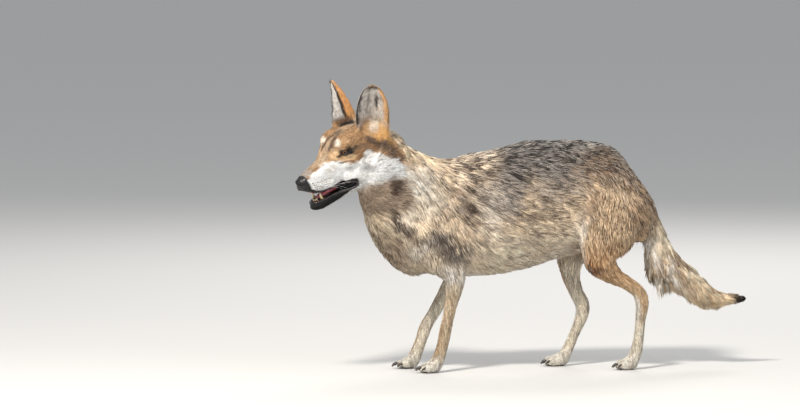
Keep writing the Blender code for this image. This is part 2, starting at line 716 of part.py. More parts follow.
def part_head(body, nodes):
    """The head off the neck, then the jaw, the nose and the ears off the head, with their inserts."""
    forward, left, up = (HEAD.col[axis].copy() for axis in range(3))
    for side in (1, -1):
        nodes.append((recess(body, eye(body, side)), "eye"))
    level = Vector((forward.x, forward.y, 0)).normalized()
    head = part_off(body, "head", in_head(0.300, 0, -0.010), level * 0.87 + Vector((0, 0, 0.49)),
                    across=left, reach=0.6, width=0.5, height=0.5)
    c, s = math.cos(JAW_DROP / 2), math.sin(JAW_DROP / 2)
    jaw_out, jaw_up = forward * c - up * s, up * c + forward * s
    jaw = part_off(head, "lower_jaw", in_head(MOUTH_BACK, 0, MOUTH_UP) - jaw_up * 0.075, jaw_out,
                   across=left, reach=0.3, width=0.3, height=0.15)
    nose = part_off(head, "nose", in_head(0.024, 0, 0.015), forward,
                    across=left, reach=0.08, width=0.1, height=0.08)
    for side, word in ((1, "left"), (-1, "right")):
        root, stem, facing = ear_axes(side)
        made = part_off(head, f"{word}_ear", root + stem * 0.016, stem, across=stem.cross(facing),
                        reach=0.2, width=0.125, height=0.125)
        nodes.append((made, "coat"))
    for tooth in teeth():
        recess(jaw, tooth)
        nodes.append((tooth, "tooth"))
    nodes.append((recess(jaw, tongue()), "tongue"))
    nodes += [(head, "coat"), (jaw, "coat"), (nose, "nose")]


COLOURS = {
    "coat": ((0.42, 0.36, 0.29), 0.9),
    "nose": ((0.010, 0.009, 0.009), 0.4),
    "eye": ((0.30, 0.16, 0.03), 0.1),
    "tooth": ((0.80, 0.74, 0.60), 0.3),
    "tongue": ((0.45, 0.14, 0.16), 0.4),
    "claw": ((0.05, 0.04, 0.035), 0.4),
}


def add_materials(nodes):
    made = {}
    for name, (colour, roughness) in COLOURS.items():
        material = bpy.data.materials.new(name)
        material.use_nodes = True
        principled = material.node_tree.nodes["Principled BSDF"]
        principled.inputs["Base Color"].default_value = (*colour, 1)
        principled.inputs["Roughness"].default_value = roughness
        made[name] = material
    for node, look in nodes:
        node.data.materials.clear()
        node.data.materials.append(made[look])
        for polygon in node.data.polygons:
            polygon.material_index = 0


def centre_on_floor(nodes):
    """Moves every node so that the origin is below the middle of the wolf's box."""
    points = [vertex.co for node, _ in nodes for vertex in node.data.vertices]
    low = Vector(min(p[axis] for p in points) for axis in range(3))
    high = Vector(max(p[axis] for p in points) for axis in range(3))
    shift = Vector((-(low.x + high.x) / 2, -(low.y + high.y) / 2, -low.z))
    for node, _ in nodes:
        node.data.transform(Matrix.Translation(shift))
    print("moved by", tuple(round(v, 5) for v in shift), "size", tuple(round(v, 4) for v in high - low))


def build():
    clear_scene()
    body = whole_body()
    floor = box("below_floor", Vector((0, 0, FLOOR - 0.1)), Matrix.Identity(3), (3, 3, 0.2))
    boolean(body, floor, "DIFFERENCE")
    boolean(body, mouth_wedge(), "DIFFERENCE")
    biggest_island(body)
    nodes = []
    part_legs(body, nodes)
    tail = part_off(body, "tail", (0.384, 0, 0.440), (0.976, 0, -0.217),
                    reach=0.6, width=0.4, height=0.7)
    part_head(body, nodes)
    neck_node = part_off(body, "neck", (-0.242, 0, 0.448), (-0.87, 0, 0.49),
                         reach=0.5, width=0.5, height=0.6)
    body.name = "trunk"
    biggest_island(body)
    nodes += [(tail, "coat"), (neck_node, "coat"), (body, "coat")]
    add_materials(nodes)
    centre_on_floor(nodes)
    total = 0
    for node, _ in nodes:
        node.data.name = node.name
        total += sum(len(p.vertices) - 2 for p in node.data.polygons)
    print(len(nodes), "nodes,", total, "triangles")


build()
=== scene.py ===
import math

import bmesh
import bpy
import numpy as np
from mathutils import Matrix, Vector
from mathutils.bvhtree import BVHTree
from mathutils.kdtree import KDTree


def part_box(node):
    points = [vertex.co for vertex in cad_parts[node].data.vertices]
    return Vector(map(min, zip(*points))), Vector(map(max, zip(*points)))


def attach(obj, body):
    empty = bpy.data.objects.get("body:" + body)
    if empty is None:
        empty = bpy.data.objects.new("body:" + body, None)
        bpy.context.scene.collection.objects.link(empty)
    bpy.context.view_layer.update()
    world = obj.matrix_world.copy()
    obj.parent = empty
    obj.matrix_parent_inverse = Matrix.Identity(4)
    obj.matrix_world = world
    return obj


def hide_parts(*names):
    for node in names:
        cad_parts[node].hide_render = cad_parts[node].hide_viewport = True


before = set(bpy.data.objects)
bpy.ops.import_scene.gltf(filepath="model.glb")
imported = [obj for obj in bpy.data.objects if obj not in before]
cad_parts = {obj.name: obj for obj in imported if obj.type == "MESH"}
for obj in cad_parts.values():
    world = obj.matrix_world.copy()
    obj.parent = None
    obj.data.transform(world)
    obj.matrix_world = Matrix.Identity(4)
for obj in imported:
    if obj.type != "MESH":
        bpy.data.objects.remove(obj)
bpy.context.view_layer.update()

# A Mexican wolf, life size, in metres. It faces -X with its left side towards -Y.

SIDES = (("left", 1), ("right", -1))
LEGS = ("left_fore", "right_fore", "left_hind", "right_hind")
FLESH = ["head", "lower_jaw", "neck", "trunk", "tail", "left_ear", "right_ear"]
FLESH += [f"{leg}_{part}" for leg in LEGS[:2] for part in ("upper_arm", "forearm", "paw")]
FLESH += [f"{leg}_{part}" for leg in LEGS[2:] for part in ("thigh", "shank", "foot")]

MIDDLE = 0.027          # y of the trunk's middle plane
HEAD_TURN, HEAD_NOD, HEAD_TILT = (math.radians(a) for a in (30, 15, 2))
NOSE_TIP = np.array((-0.6520, -0.1448, 0.5370))
EAR_ROOT = (0.250, 0.060, 0.086)
EAR_SPLAY, EAR_FACING = math.radians(13), math.radians(50)
EAR_HEIGHT, EAR_WIDTH = 0.132, 0.092
JAW_HINGE = (0.215, -0.012)
JAW_DROP = math.radians(10)

WELD = 0.00001          # corners nearer than this are one
FLOOR_GAP = 0.0008      # lowest place of a hair over the floor
SKIN_GRID = 0.0027      # spacing of the skin's mesh on the head
SKIN_SWELL = 0.0004     # growth of each solid before they are joined into the skin
BODY_SHARE = 0.40       # share of the faces kept on the rest of the body
SEAM_ROUNDS = 45        # rounds of smoothing where the parts of the body meet
# Tufts on each part, the spacing of the locks that they gather into, and how far they lean to them
COAT = {"face": (148000, 0.0040, 0.38), "neck": (60000, 0.0095, 0.52), "trunk": (118000, 0.0095, 0.55),
        "legs": (54000, 0.0060, 0.50), "tail": (22000, 0.0120, 0.65)}
PIECE_TUFTS = 48000     # most tufts in one piece
SEED = 7


# ------------------------------------------------------------------ numbers and meshes


def ease(value, start, end):
    """0 before start, 1 after end, and smooth between them; start may be the greater."""
    t = np.clip((value - start) / (end - start), 0.0, 1.0)
    return t * t * (3 - 2 * t)


def unit(vectors):
    """Each vector made one long."""
    return vectors / np.maximum(np.linalg.norm(vectors, axis=-1, keepdims=True), 1e-9)


def flatten(vectors, normals):
    """The part of each vector that lies along the surface, as a unit vector."""
    return unit(vectors - normals * np.sum(vectors * normals, axis=1, keepdims=True))


def blend(first, second, share):
    """The first colours or places turned into the second, by one share or a share for each row."""
    return first + (second - first) * np.asarray(share)[..., None]


def corners_of(mesh):
    points = np.empty(len(mesh.vertices) * 3, np.float32)
    mesh.vertices.foreach_get("co", points)
    return points.reshape(-1, 3).astype(float)


def triangles_of(mesh):
    mesh.calc_loop_triangles()
    faces = np.empty(len(mesh.loop_triangles) * 3, np.int32)
    mesh.loop_triangles.foreach_get("vertices", faces)
    return faces.reshape(-1, 3)


def normals_of(points, faces):
    a, b, c = (points[faces[:, k]] for k in range(3))
    cross = np.cross(b - a, c - a)
    total = np.zeros_like(points)
    for k in range(3):
        for axis in range(3):
            total[:, axis] += np.bincount(faces[:, k], cross[:, axis], len(points))
    return unit(total)


def edges_of(faces):
    pairs = np.concatenate((faces[:, (0, 1)], faces[:, (1, 2)], faces[:, (2, 0)]))
    return np.unique(np.sort(pairs, axis=1), axis=0)


def spread(values, edges, rounds, hold=None):
    """Values at the corners, averaged with their neighbours this many times."""
    values = values.reshape(len(values), -1).astype(float)
    first, second = edges.T
    count = np.bincount(np.concatenate((first, second)), minlength=len(values))[:, None]
    for _ in range(rounds):
        total = np.empty_like(values)
        for k in range(values.shape[1]):
            total[:, k] = (np.bincount(first, values[second, k], len(values))
                           + np.bincount(second, values[first, k], len(values)))
        mean = 0.5 * values + 0.5 * total / np.maximum(count, 1)
        values = mean if hold is None else blend(values, mean, hold)
    return values


def make_mesh(name, points, faces, smooth=True):
    faces = np.asarray(faces, np.int32)
    mesh = bpy.data.meshes.new(name)
    mesh.vertices.add(len(points))
    mesh.vertices.foreach_set("co", np.asarray(points, np.float32).ravel())
    mesh.loops.add(faces.size)
    mesh.loops.foreach_set("vertex_index", faces.ravel())
    mesh.polygons.add(len(faces))
    mesh.polygons.foreach_set("loop_start", np.arange(0, faces.size, faces.shape[1], dtype=np.int32))
    mesh.polygons.foreach_set("use_smooth", np.full(len(faces), smooth))
    mesh.update(calc_edges=True)
    return mesh


def paint_corners(mesh, colours, wet=None):
    """Stores a colour for each corner, and how wet or bare the surface is there."""
    layer = mesh.color_attributes.new("coat", "FLOAT_COLOR", "POINT")
    rgba = np.ones((len(mesh.vertices), 4), np.float32)
    rgba[:, :3] = np.clip(colours, 0, 1)
    layer.data.foreach_set("color", rgba.ravel())
    if wet is not None:
        rgba[:, :3] = np.clip(wet, 0, 1)[:, None]
        mesh.color_attributes.new("bare", "FLOAT_COLOR", "POINT").data.foreach_set("color", rgba.ravel())


def add_piece(name, mesh, material=None):
    made = bpy.data.objects.new(name, mesh)
    bpy.context.scene.collection.objects.link(made)
    if material:
        mesh.materials.clear()
        mesh.materials.append(material)
    return made


def finish_piece(made, slot, *nodes):
    """The piece rides on the wolf and stands for these CAD nodes, which are hidden. The slot is not used."""
    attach(made, "root")
    if nodes:
        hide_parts(*nodes)


def painted_piece(name, points, faces, colours, material, slot, *nodes):
    """A finished piece out of corners, faces and the corners' colours."""
    mesh = make_mesh(name, points, faces)
    paint_corners(mesh, colours)
    finish_piece(add_piece(name, mesh, material), slot, *nodes)


def settle(made):
    """Turns an object's modifiers into a plain mesh."""
    bpy.context.view_layer.update()
    evaluated = made.evaluated_get(bpy.context.evaluated_depsgraph_get())
    mesh = bpy.data.meshes.new_from_object(evaluated)
    made.modifiers.clear()
    made.data = mesh
    return made


def merged_piece(name, nodes, grid, swell):
    """Some CAD nodes joined on a fine grid, each swollen a little to close the cuts between them."""
    whole = bmesh.new()
    for node in nodes:
        shape = bmesh.new()
        shape.from_mesh(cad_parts[node].data)
        bmesh.ops.remove_doubles(shape, verts=shape.verts, dist=WELD)
        shape.normal_update()
        for corner in shape.verts:
            corner.co += corner.normal * swell
        mesh = bpy.data.meshes.new("copy")
        shape.to_mesh(mesh)
        shape.free()
        whole.from_mesh(mesh)
        bpy.data.meshes.remove(mesh)
    mesh = bpy.data.meshes.new(name)
    whole.to_mesh(mesh)
    whole.free()
    made = add_piece(name, mesh)
    change = made.modifiers.new("grid", "REMESH")
    change.mode = "VOXEL"
    change.voxel_size = grid
    return settle(made)


def fine_copy(node, grid, rounds, swell):
    """Corners and faces of a CAD node on a fine grid, smoothed."""
    made = merged_piece(node, [node], grid, swell)
    points, faces = corners_of(made.data), triangles_of(made.data)
    bpy.data.objects.remove(made, do_unlink=True)
    return spread(points, edges_of(faces), rounds), faces


def ring_faces(rings, sides, closed=False):
    """Triangles from each ring of corners to the next, and from the last to the first if closed."""
    ring, k = np.divmod(np.arange((rings if closed else rings - 1) * sides), sides)
    here, there, following = ring * sides, (ring + 1) % rings * sides, (k + 1) % sides
    corners = (here + k, here + following, there + following, here + k, there + following, there + k)
    return np.stack(corners, axis=1).reshape(-1, 3)


def tube(path, radii, sides=8, flat=1.0, across=(0.0, 0.0, 1.0), closed=False):
    """Corners and faces of a round bar along a path, with a radius at each of its points.

    The radius is taken along `across`, and times `flat` at a right angle to it. A closed path is a ring.
    """
    path, radii = np.asarray(path, float), np.asarray(radii, float)
    if closed:
        along = unit(np.roll(path, -1, axis=0) - np.roll(path, 1, axis=0))
    else:
        along = unit(np.gradient(path, axis=0))
    side = flatten(np.repeat(np.asarray(across, float)[None], len(path), 0), along)
    other = np.cross(along, side)
    angles = np.linspace(0, 2 * math.pi, sides, endpoint=False)
    rings = (path[:, None] + side[:, None] * (np.cos(angles)[None, :, None] * radii[:, None, None])
             + other[:, None] * (np.sin(angles)[None, :, None] * radii[:, None, None] * flat))
    points = rings.reshape(-1, 3)
    faces = ring_faces(len(path), sides, closed)
    if not closed:
        k, end, last = np.arange(sides), np.full(sides, len(points)), len(points) - sides
        following = (k + 1) % sides
        caps = (following, k, end, last + k, last + following, end + 1)
        points = np.concatenate((points, path[:1], path[-1:]))
        faces = np.concatenate((faces, np.stack(caps, axis=1).reshape(-1, 3)))
    return points, faces


def curve(stations, count):
    """Points at even steps on a smooth line through the stations."""
    stations = np.asarray(stations, float)
    padded = np.concatenate((2 * stations[:1] - stations[1:2], stations, 2 * stations[-1:] - stations[-2:-1]))
    fine = []
    for before, start, end, after in zip(padded, padded[1:], padded[2:], padded[3:]):
        for t in np.arange(0, 1, 0.05):
            square, cube = 2 * before - 5 * start + 4 * end - after, 3 * start - before - 3 * end + after
            fine.append(0.5 * (2 * start + (end - before) * t + square * t ** 2 + cube * t ** 3))
    fine = np.array(fine + [stations[-1]])
    run = np.concatenate(((0,), np.cumsum(np.linalg.norm(np.diff(fine[:, :3], axis=0), axis=1))))
    even = np.linspace(0, run[-1], count)
    return np.stack([np.interp(even, run, fine[:, k]) for k in range(fine.shape[1])], axis=1)


def together(parts):
    """One set of corners and faces out of several."""
    points, faces, count = [], [], 0
    for some, others in parts:
        points.append(some)
        faces.append(np.asarray(others) + count)
        count += len(some)
    return np.concatenate(points), np.concatenate(faces)


# ------------------------------------------------------------------ the head's own frame


def head_axes():
    turn = Matrix.Rotation(HEAD_TURN, 3, "Z")
    nod = Matrix.Rotation(-HEAD_NOD, 3, "Y")
    tilt = Matrix.Rotation(HEAD_TILT, 3, "X")
    straight = Matrix(((-1, 0, 0), (0, -1, 0), (0, 0, 1))).transposed()
    return np.array(turn @ nod @ tilt @ straight)


HEAD = head_axes()      # columns: forwards, to the left, upwards


def in_head(back, out, up):
    """The world place so far behind the nose tip, to its left and up."""
    return NOSE_TIP + HEAD @ np.array((-back, out, up))


def rows_in_head(rows):
    """World points for rows that start with back, out and up."""
    rows = np.asarray(rows, float)
    return NOSE_TIP + (rows[:, :3] * (-1, 1, 1)) @ HEAD.T


def in_jaw(back, out, up):
    """A point of the lower jaw, given as if the mouth were closed."""
    c, s = math.cos(JAW_DROP), math.sin(JAW_DROP)
    ahead, high = JAW_HINGE[0] - back, up - JAW_HINGE[1]
    return in_head(JAW_HINGE[0] - (ahead * c + high * s), out, JAW_HINGE[1] - ahead * s + high * c)


def head_places(points):
    """How far each point is behind the nose tip, to the left and up, in the head's frame."""
    local = (points - NOSE_TIP) @ HEAD
    return -local[..., 0], local[..., 1], local[..., 2]


def head_way(back, out, up):
    """A way given in the head's frame, in the world's."""
    return HEAD @ np.array((-back, out, up), float)


def ear_axes(side):
    """The root, the stem's way and the way the cup opens, of the ear on one side."""
    facing = head_way(-math.cos(EAR_FACING), side * math.sin(EAR_FACING), 0)
    stem = unit(head_way(0.03, side * math.sin(EAR_SPLAY), math.cos(EAR_SPLAY)))
    facing = unit(facing - stem * facing.dot(stem))
    back, out, up = EAR_ROOT
    return in_head(back, side * out, up), stem, facing


def eye_place(side_name):
    """The middle of an eyeball and its radius."""
    low, high = (np.array(corner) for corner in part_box(f"{side_name}_eye"))
    return (low + high) / 2, (high - low).mean() / 2


EYES = {side: eye_place(name) for name, side in SIDES}


# ------------------------------------------------------------------ the coat's lie and measures

# Guides down the middle of each part, in the order in which the hair lies:
# x, y, z, reach, droop, then the coat's depth and a tuft's length and width in millimetres
GUIDES = {
    "neck": [
        (-0.400, -0.055, 0.560, 0.070, 0.25, 10.0, 36, 1.2),
        (-0.335, -0.015, 0.530, 0.090, 0.45, 14.0, 50, 1.45),
        (-0.270, 0.010, 0.470, 0.100, 0.60, 14.0, 54, 1.5),
        (-0.200, 0.025, 0.420, 0.100, 0.65, 12.0, 50, 1.5),
    ],
    "trunk": [
        (-0.200, MIDDLE, 0.460, 0.110, 0.50, 12.0, 50, 1.5),
        (-0.120, MIDDLE, 0.440, 0.120, 0.42, 11.0, 48, 1.5),
        (0.000, MIDDLE, 0.445, 0.115, 0.36, 10.0, 47, 1.5),
        (0.120, MIDDLE, 0.460, 0.105, 0.36, 10.0, 47, 1.5),
        (0.230, MIDDLE, 0.490, 0.105, 0.45, 10.0, 44, 1.45),
        (0.310, MIDDLE, 0.480, 0.090, 0.70, 10.0, 34, 1.45),
        (0.345, MIDDLE, 0.460, 0.060, 0.80, 9.0, 28, 1.4),
    ],
    "tail": [
        (0.345, MIDDLE, 0.470, 0.034, 0.30, 9.0, 28, 1.4),
        (0.375, MIDDLE, 0.412, 0.038, 0.40, 12.0, 54, 1.5),
        (0.402, MIDDLE, 0.320, 0.042, 0.70, 15.0, 64, 1.6),
        (0.460, MIDDLE, 0.265, 0.042, 0.70, 16.0, 64, 1.6),
        (0.535, MIDDLE, 0.204, 0.036, 0.35, 14.0, 52, 1.5),
        (0.623, MIDDLE, 0.189, 0.020, 0.05, 8.0, 26, 1.2),
        (0.652, MIDDLE, 0.187, 0.008, 0.00, 3.0, 10, 1.0),
    ],
}
LEG_GUIDES = {
    # each leg, from the shoulder or hip down to the toes
    "left_fore": [
        (-0.255, -0.045, 0.440, 0.060), (-0.240, -0.058, 0.345, 0.058), (-0.195, -0.052, 0.275, 0.040),
        (-0.198, -0.048, 0.205, 0.022), (-0.218, -0.045, 0.112, 0.020), (-0.238, -0.044, 0.030, 0.024),
        (-0.295, -0.046, 0.008, 0.024),
    ],
    "right_fore": [
        (-0.245, 0.100, 0.440, 0.060), (-0.216, 0.111, 0.345, 0.058), (-0.168, 0.108, 0.275, 0.040),
        (-0.194, 0.101, 0.205, 0.022), (-0.248, 0.096, 0.118, 0.020), (-0.276, 0.095, 0.030, 0.024),
        (-0.333, 0.098, 0.008, 0.024),
    ],
    "left_hind": [
        (0.245, -0.030, 0.480, 0.085), (0.240, -0.050, 0.390, 0.080), (0.240, -0.056, 0.290, 0.045),
        (0.305, -0.051, 0.238, 0.024), (0.342, -0.049, 0.188, 0.022), (0.333, -0.047, 0.092, 0.019),
        (0.318, -0.046, 0.024, 0.022), (0.270, -0.048, 0.008, 0.022),
    ],
    "right_hind": [
        (0.265, 0.085, 0.480, 0.085), (0.225, 0.105, 0.390, 0.080), (0.170, 0.111, 0.300, 0.045),
        (0.180, 0.104, 0.212, 0.024), (0.200, 0.101, 0.165, 0.022), (0.182, 0.098, 0.095, 0.019),
        (0.148, 0.097, 0.016, 0.022), (0.092, 0.096, 0.008, 0.022),
    ],
}
# depth, length, width down a leg, at the heights where they hold
LEG_COAT = [(0.50, 9.0, 32, 1.5), (0.36, 8.0, 28, 1.4), (0.28, 5.0, 20, 1.2), (0.20, 2.6, 12, 0.9),
            (0.08, 2.2, 10, 0.8), (0.02, 1.8, 8, 0.7), (0.0, 1.2, 6, 0.7)]
heights, *measures = zip(*LEG_COAT[::-1])
for leg, rows in LEG_GUIDES.items():
    GUIDES[leg] = [(x, y, z, reach, 0.10 if z < 0.3 else 0.3,
                    *(float(np.interp(z, heights, measure)) for measure in measures))
                   for x, y, z, reach in rows]


def guided(points):
    """At each point: the hair's way, then droop, depth, length and width, and the share of each guide."""
    total = np.zeros((len(points), 7))
    weight_sum = np.zeros(len(points))
    share = {}
    for name, rows in GUIDES.items():
        rows = np.array(rows)
        share[name] = np.zeros(len(points))
        for start, end in zip(rows, rows[1:]):
            line = end[:3] - start[:3]
            t = np.clip((points - start[:3]) @ line / line.dot(line), 0, 1)
            gap = np.linalg.norm(points - start[:3] - t[:, None] * line, axis=1)
            reach = start[3] + (end[3] - start[3]) * t
            weight = 1.0 / (0.02 + (gap / reach) ** 6)
            numbers = start[4:] + (end[4:] - start[4:]) * t[:, None]
            total[:, :3] += weight[:, None] * (line / np.linalg.norm(line))
            total[:, 3:] += weight[:, None] * numbers
            share[name] += weight
            weight_sum += weight
    total /= weight_sum[:, None]
    for name in share:
        share[name] /= weight_sum
    way = unit(total[:, :3]) + np.outer(total[:, 3], (0, 0, -1.0))
    return unit(way), total[:, 4:] * 0.001, share


def head_share(points):
    back, out, up = head_places(points)
    return ease(back, 0.315, 0.262) * ease(up, -0.155, -0.115) * ease(np.abs(out), 0.20, 0.15)


def ear_share(points, side):
    """How much of each point is on the ear of that side, and its height along the ear, 0 to 1."""
    root, stem, _ = ear_axes(side)
    away = points - root
    height = away @ stem
    gap = np.linalg.norm(away - height[:, None] * stem, axis=1)
    return ease(height, 0.004, 0.030) * ease(gap, 0.085, 0.070), height / EAR_HEIGHT


def coat_fields(points, normals):
    """The hair's way along the skin, and the coat's depth and a tuft's length, width and fullness."""
    way, sizes, share = guided(points)
    depth, length, width = sizes.T
    full = np.ones(len(points))
    back, out, up = head_places(points)
    side = np.sign(out)
    on_head = head_share(points)
    # the lie of the hair on the head: back over the bridge and brow, fanning out below the cheeks
    low = ease(up, 0.02, -0.05)
    eye_gap = np.hypot(back - 0.150, (up - 0.050) * 1.3)
    around_eye = ease(eye_gap, 0.045, 0.015)
    parts = np.stack((np.ones(len(points)),
                      side * (0.10 + 0.25 * low + 0.25 * ease(back, 0.13, 0.2)),
                      0.10 * ease(up, 0.0, 0.04) - 0.42 * low * ease(back, 0.11, 0.20)), axis=1)
    swirl = np.stack((back - 0.134, side * 0.02, (up - 0.043)), axis=1)
    parts += around_eye[:, None] * unit(swirl) * 0.9
    head_hair = (parts * (-1, 1, 1)) @ HEAD.T
    muzzle = ease(back, 0.135, 0.075)
    cheek = ease(back, 0.175, 0.245) * ease(up, 0.07, 0.02)
    jaw = ease(up, -0.055, -0.075)
    face_depth = 0.0022 - 0.0008 * muzzle + 0.0052 * cheek + 0.0012 * jaw * (1 - muzzle)
    face_length = 0.0090 - 0.0038 * muzzle + 0.0175 * cheek + 0.0045 * jaw * (1 - muzzle)
    face_width = 0.00076 - 0.00018 * muzzle + 0.0004 * cheek
    near_eye = ease(eye_gap, 0.034, 0.016) * ease(np.abs(out), 0.015, 0.03)
    face_depth *= 1 - 0.55 * near_eye
    face_length *= 1 - 0.45 * near_eye
    face_width *= 1 - 0.25 * near_eye
    for k, value in ((0, face_depth), (1, face_length), (2, face_width)):
        sizes[:, k] += (value - sizes[:, k]) * on_head
    way = way + (unit(head_hair) - way) * on_head[:, None]
    for ear_side in (1, -1):
        on_ear, height = ear_share(points, ear_side)
        root, stem, facing = ear_axes(ear_side)
        inner = ease(normals @ facing, 0.05, 0.45)
        across = np.cross(stem, facing)
        lean = np.sign((points - root) @ across)[:, None] * across
        ear_hair = stem + inner[:, None] * (facing * 0.7 - lean * 0.8)
        way = way + (ear_hair - way) * on_ear[:, None]
        tip = ease(height, 0.75, 1.0)
        for k, outside, inside in ((0, 0.0020, 0.0024), (1, 0.0085, 0.020), (2, 0.0009, 0.0010)):
            value = (outside + (inside - outside) * inner) * (1 - 0.25 * tip)
            sizes[:, k] += (value - sizes[:, k]) * on_ear
        full += (0.55 - 1) * on_ear * inner
    depth, length, width = sizes.T
    return flatten(way, normals), depth, length, width, full, share


# ------------------------------------------------------------------ the skin


def build_skin():
    """The flesh as one closed surface, finer on the head than on the body."""
    skin = merged_piece("wolf_skin", (*FLESH, "nose"), SKIN_GRID, SKIN_SWELL)
    points, faces = corners_of(skin.data), triangles_of(skin.data)
    edges = edges_of(faces)
    body = 1 - head_share(points)
    points = spread(points, edges, 4)
    points = spread(points, edges, 10, hold=body)
    skin.data.vertices.foreach_set("co", points.astype(np.float32).ravel())
    group = skin.vertex_groups.new(name="body")
    for level in np.unique(np.round(body, 1)):
        if level > 0:
            group.add(np.nonzero(np.round(body, 1) == level)[0].tolist(), float(level), "REPLACE")
    fewer = skin.modifiers.new("fewer", "DECIMATE")
    fewer.ratio = BODY_SHARE
    fewer.vertex_group = "body"
    settle(skin)
    skin.vertex_groups.clear()
    return skin


def claw_ends(name):
    """The root and the tip of a claw."""
    points = corners_of(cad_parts[name].data)
    ahead = points @ (-1.0, 0.0, -0.3)
    reach = (ahead - ahead.min()) / np.ptp(ahead)
    return points[reach < 0.3].mean(axis=0), points[reach > 0.93].mean(axis=0)


def toe_grooves(points, normals):
    """How deep the gaps between the toes are pressed into the paws, at each point."""
    depth = np.zeros(len(points))
    for leg in LEGS:
        ends = [claw_ends(f"{leg}_claw_{number}") for number in (1, 2, 3, 4)]
        for (root, tip), (next_root, next_tip) in zip(ends, ends[1:]):
            start = (tip + next_tip) / 2
            ahead = unit((tip - root + next_tip - next_root) * (1, 1, 0))
            away = points - start
            along = away @ -ahead
            aside = away @ np.cross(ahead, (0, 0, 1.0))
            groove = np.exp(-(aside / 0.0028) ** 2) * ease(along, -0.012, -0.002) * ease(along, 0.042, 0.018)
            groove *= ease(points[:, 2], 0.060, 0.045) * ease(normals[:, 2], -0.5, 0.0)
            depth = np.maximum(depth, 0.0042 * groove)
    return depth


# ------------------------------------------------------------------ colours and markings


def tone(red, green, blue):
    """A colour in screen values, as linear light."""
    value = np.array((red, green, blue)) / 255
    return np.where(value <= 0.04045, value / 12.92, ((value + 0.055) / 1.055) ** 2.4)


WHITE, CREAM, SAND = (246, 244, 240), (228, 212, 186), (200, 164, 124)
RUST, BROWN, GREY = (132, 84, 46), (86, 64, 48), (150, 140, 130)
SLATE, CHARCOAL, BLACK = (106, 96, 88), (46, 41, 39), (14, 13, 13)
LIGHTNESS = (0.3, 0.5, 0.2)     # weights of red, green and blue

BACK_LINE = ((-0.45, 0.68), (-0.36, 0.67), (-0.27, 0.625), (-0.20, 0.600), (-0.10, 0.610), (0.0, 0.635),
             (0.10, 0.642), (0.20, 0.636), (0.27, 0.610), (0.33, 0.545), (0.38, 0.48))
BELLY_LINE = ((-0.45, 0.50), (-0.36, 0.33), (-0.30, 0.27), (-0.20, 0.262), (-0.10, 0.264), (0.0, 0.280),
              (0.10, 0.302), (0.20, 0.335), (0.33, 0.36), (0.38, 0.37))
# Upper edge of the white on the muzzle and cheek: back, up
CHEEK_LINE = ((0.0, 0.004), (0.03, 0.012), (0.06, 0.021), (0.09, 0.029), (0.112, 0.033), (0.125, 0.030),
              (0.139, 0.022), (0.155, 0.015), (0.170, 0.012), (0.185, 0.024), (0.199, 0.036), (0.215, 0.034),
              (0.232, 0.016), (0.255, 0.000), (0.29, -0.020), (0.32, -0.030))
# Edges of the bare black lips on the outside: back, up
LIP_LINE = ((0.000, -0.016), (0.027, -0.021), (0.045, -0.0315), (0.065, -0.0355), (0.100, -0.0350),
            (0.120, -0.0325), (0.136, -0.0280), (0.147, -0.0262), (0.157, -0.0270), (0.165, -0.0320),
            (0.170, -0.0420))
LOWER_LIP_LINE = ((0.020, -0.100), (0.055, -0.0960), (0.071, -0.0890), (0.100, -0.0820), (0.119, -0.0765),
                  (0.140, -0.0690), (0.154, -0.0625), (0.162, -0.0575), (0.167, -0.0500), (0.170, -0.0430))
# Lower edge of the bare skin under the lower lip; the hair is black from there to LOWER_LIP_LINE
BARE_LIP_LINE = ((0.020, -0.0830), (0.040, -0.0800), (0.060, -0.0765), (0.080, -0.0740), (0.100, -0.0715),
                 (0.120, -0.0690), (0.140, -0.0655), (0.154, -0.0610), (0.162, -0.0570), (0.167, -0.0500),
                 (0.170, -0.0430))
# How far back the bare nose leather reaches: up, back
NOSE_EDGE = ((-0.030, 0.031), (-0.020, 0.030), (-0.006, 0.0275), (0.006, 0.0235), (0.020, 0.0195))


def line(places, stations):
    """The height of a line of stations at these places."""
    return np.interp(places, [row[0] for row in stations], [row[1] for row in stations])


# Width, length and seed of the streaks of hair, on the body and on the legs: first the broad, then the fine
STRANDS = (((0.0070, 0.046, 4), (0.0060, 0.036, 5)), ((0.0034, 0.026, 6), (0.0032, 0.018, 8)))
BODY_DIP, LEG_DIP = 0.42, 1.45      # how steeply the streaks run down, in radians
# Painted shadow in the fold between the cheek's ruff and the neck, from behind the jaw down to the chest:
# start, end, half width
THROAT_SHADOW = (((-0.386, 0.545), (-0.392, 0.480), 0.011), ((-0.392, 0.480), (-0.335, 0.412), 0.010),
               ((-0.335, 0.412), (-0.250, 0.362), 0.012))


def mottle(points, size, seed, stretch=(1.0, 1.0, 1.0)):
    """A smooth random pattern of about -1 to 1, with patches of this size."""
    draw = np.random.default_rng(seed)
    total = np.zeros(len(points))
    for _ in range(9):
        wave = unit(draw.normal(size=3)) * np.array(stretch) * 2 * math.pi / (size * draw.uniform(1.2, 3.2))
        total += np.sin(points @ wave + draw.uniform(0, 6.28))
    return total / 2.6


def strands(points, width, long, seed, dip):
    """A mottle drawn out along the lie: backwards, and down by this angle."""
    c, s = math.cos(dip), math.sin(dip)
    x, y, z = points.T
    return mottle(np.stack(((x * c - z * s) * width / long, y, x * s + z * c), axis=1), width, seed)


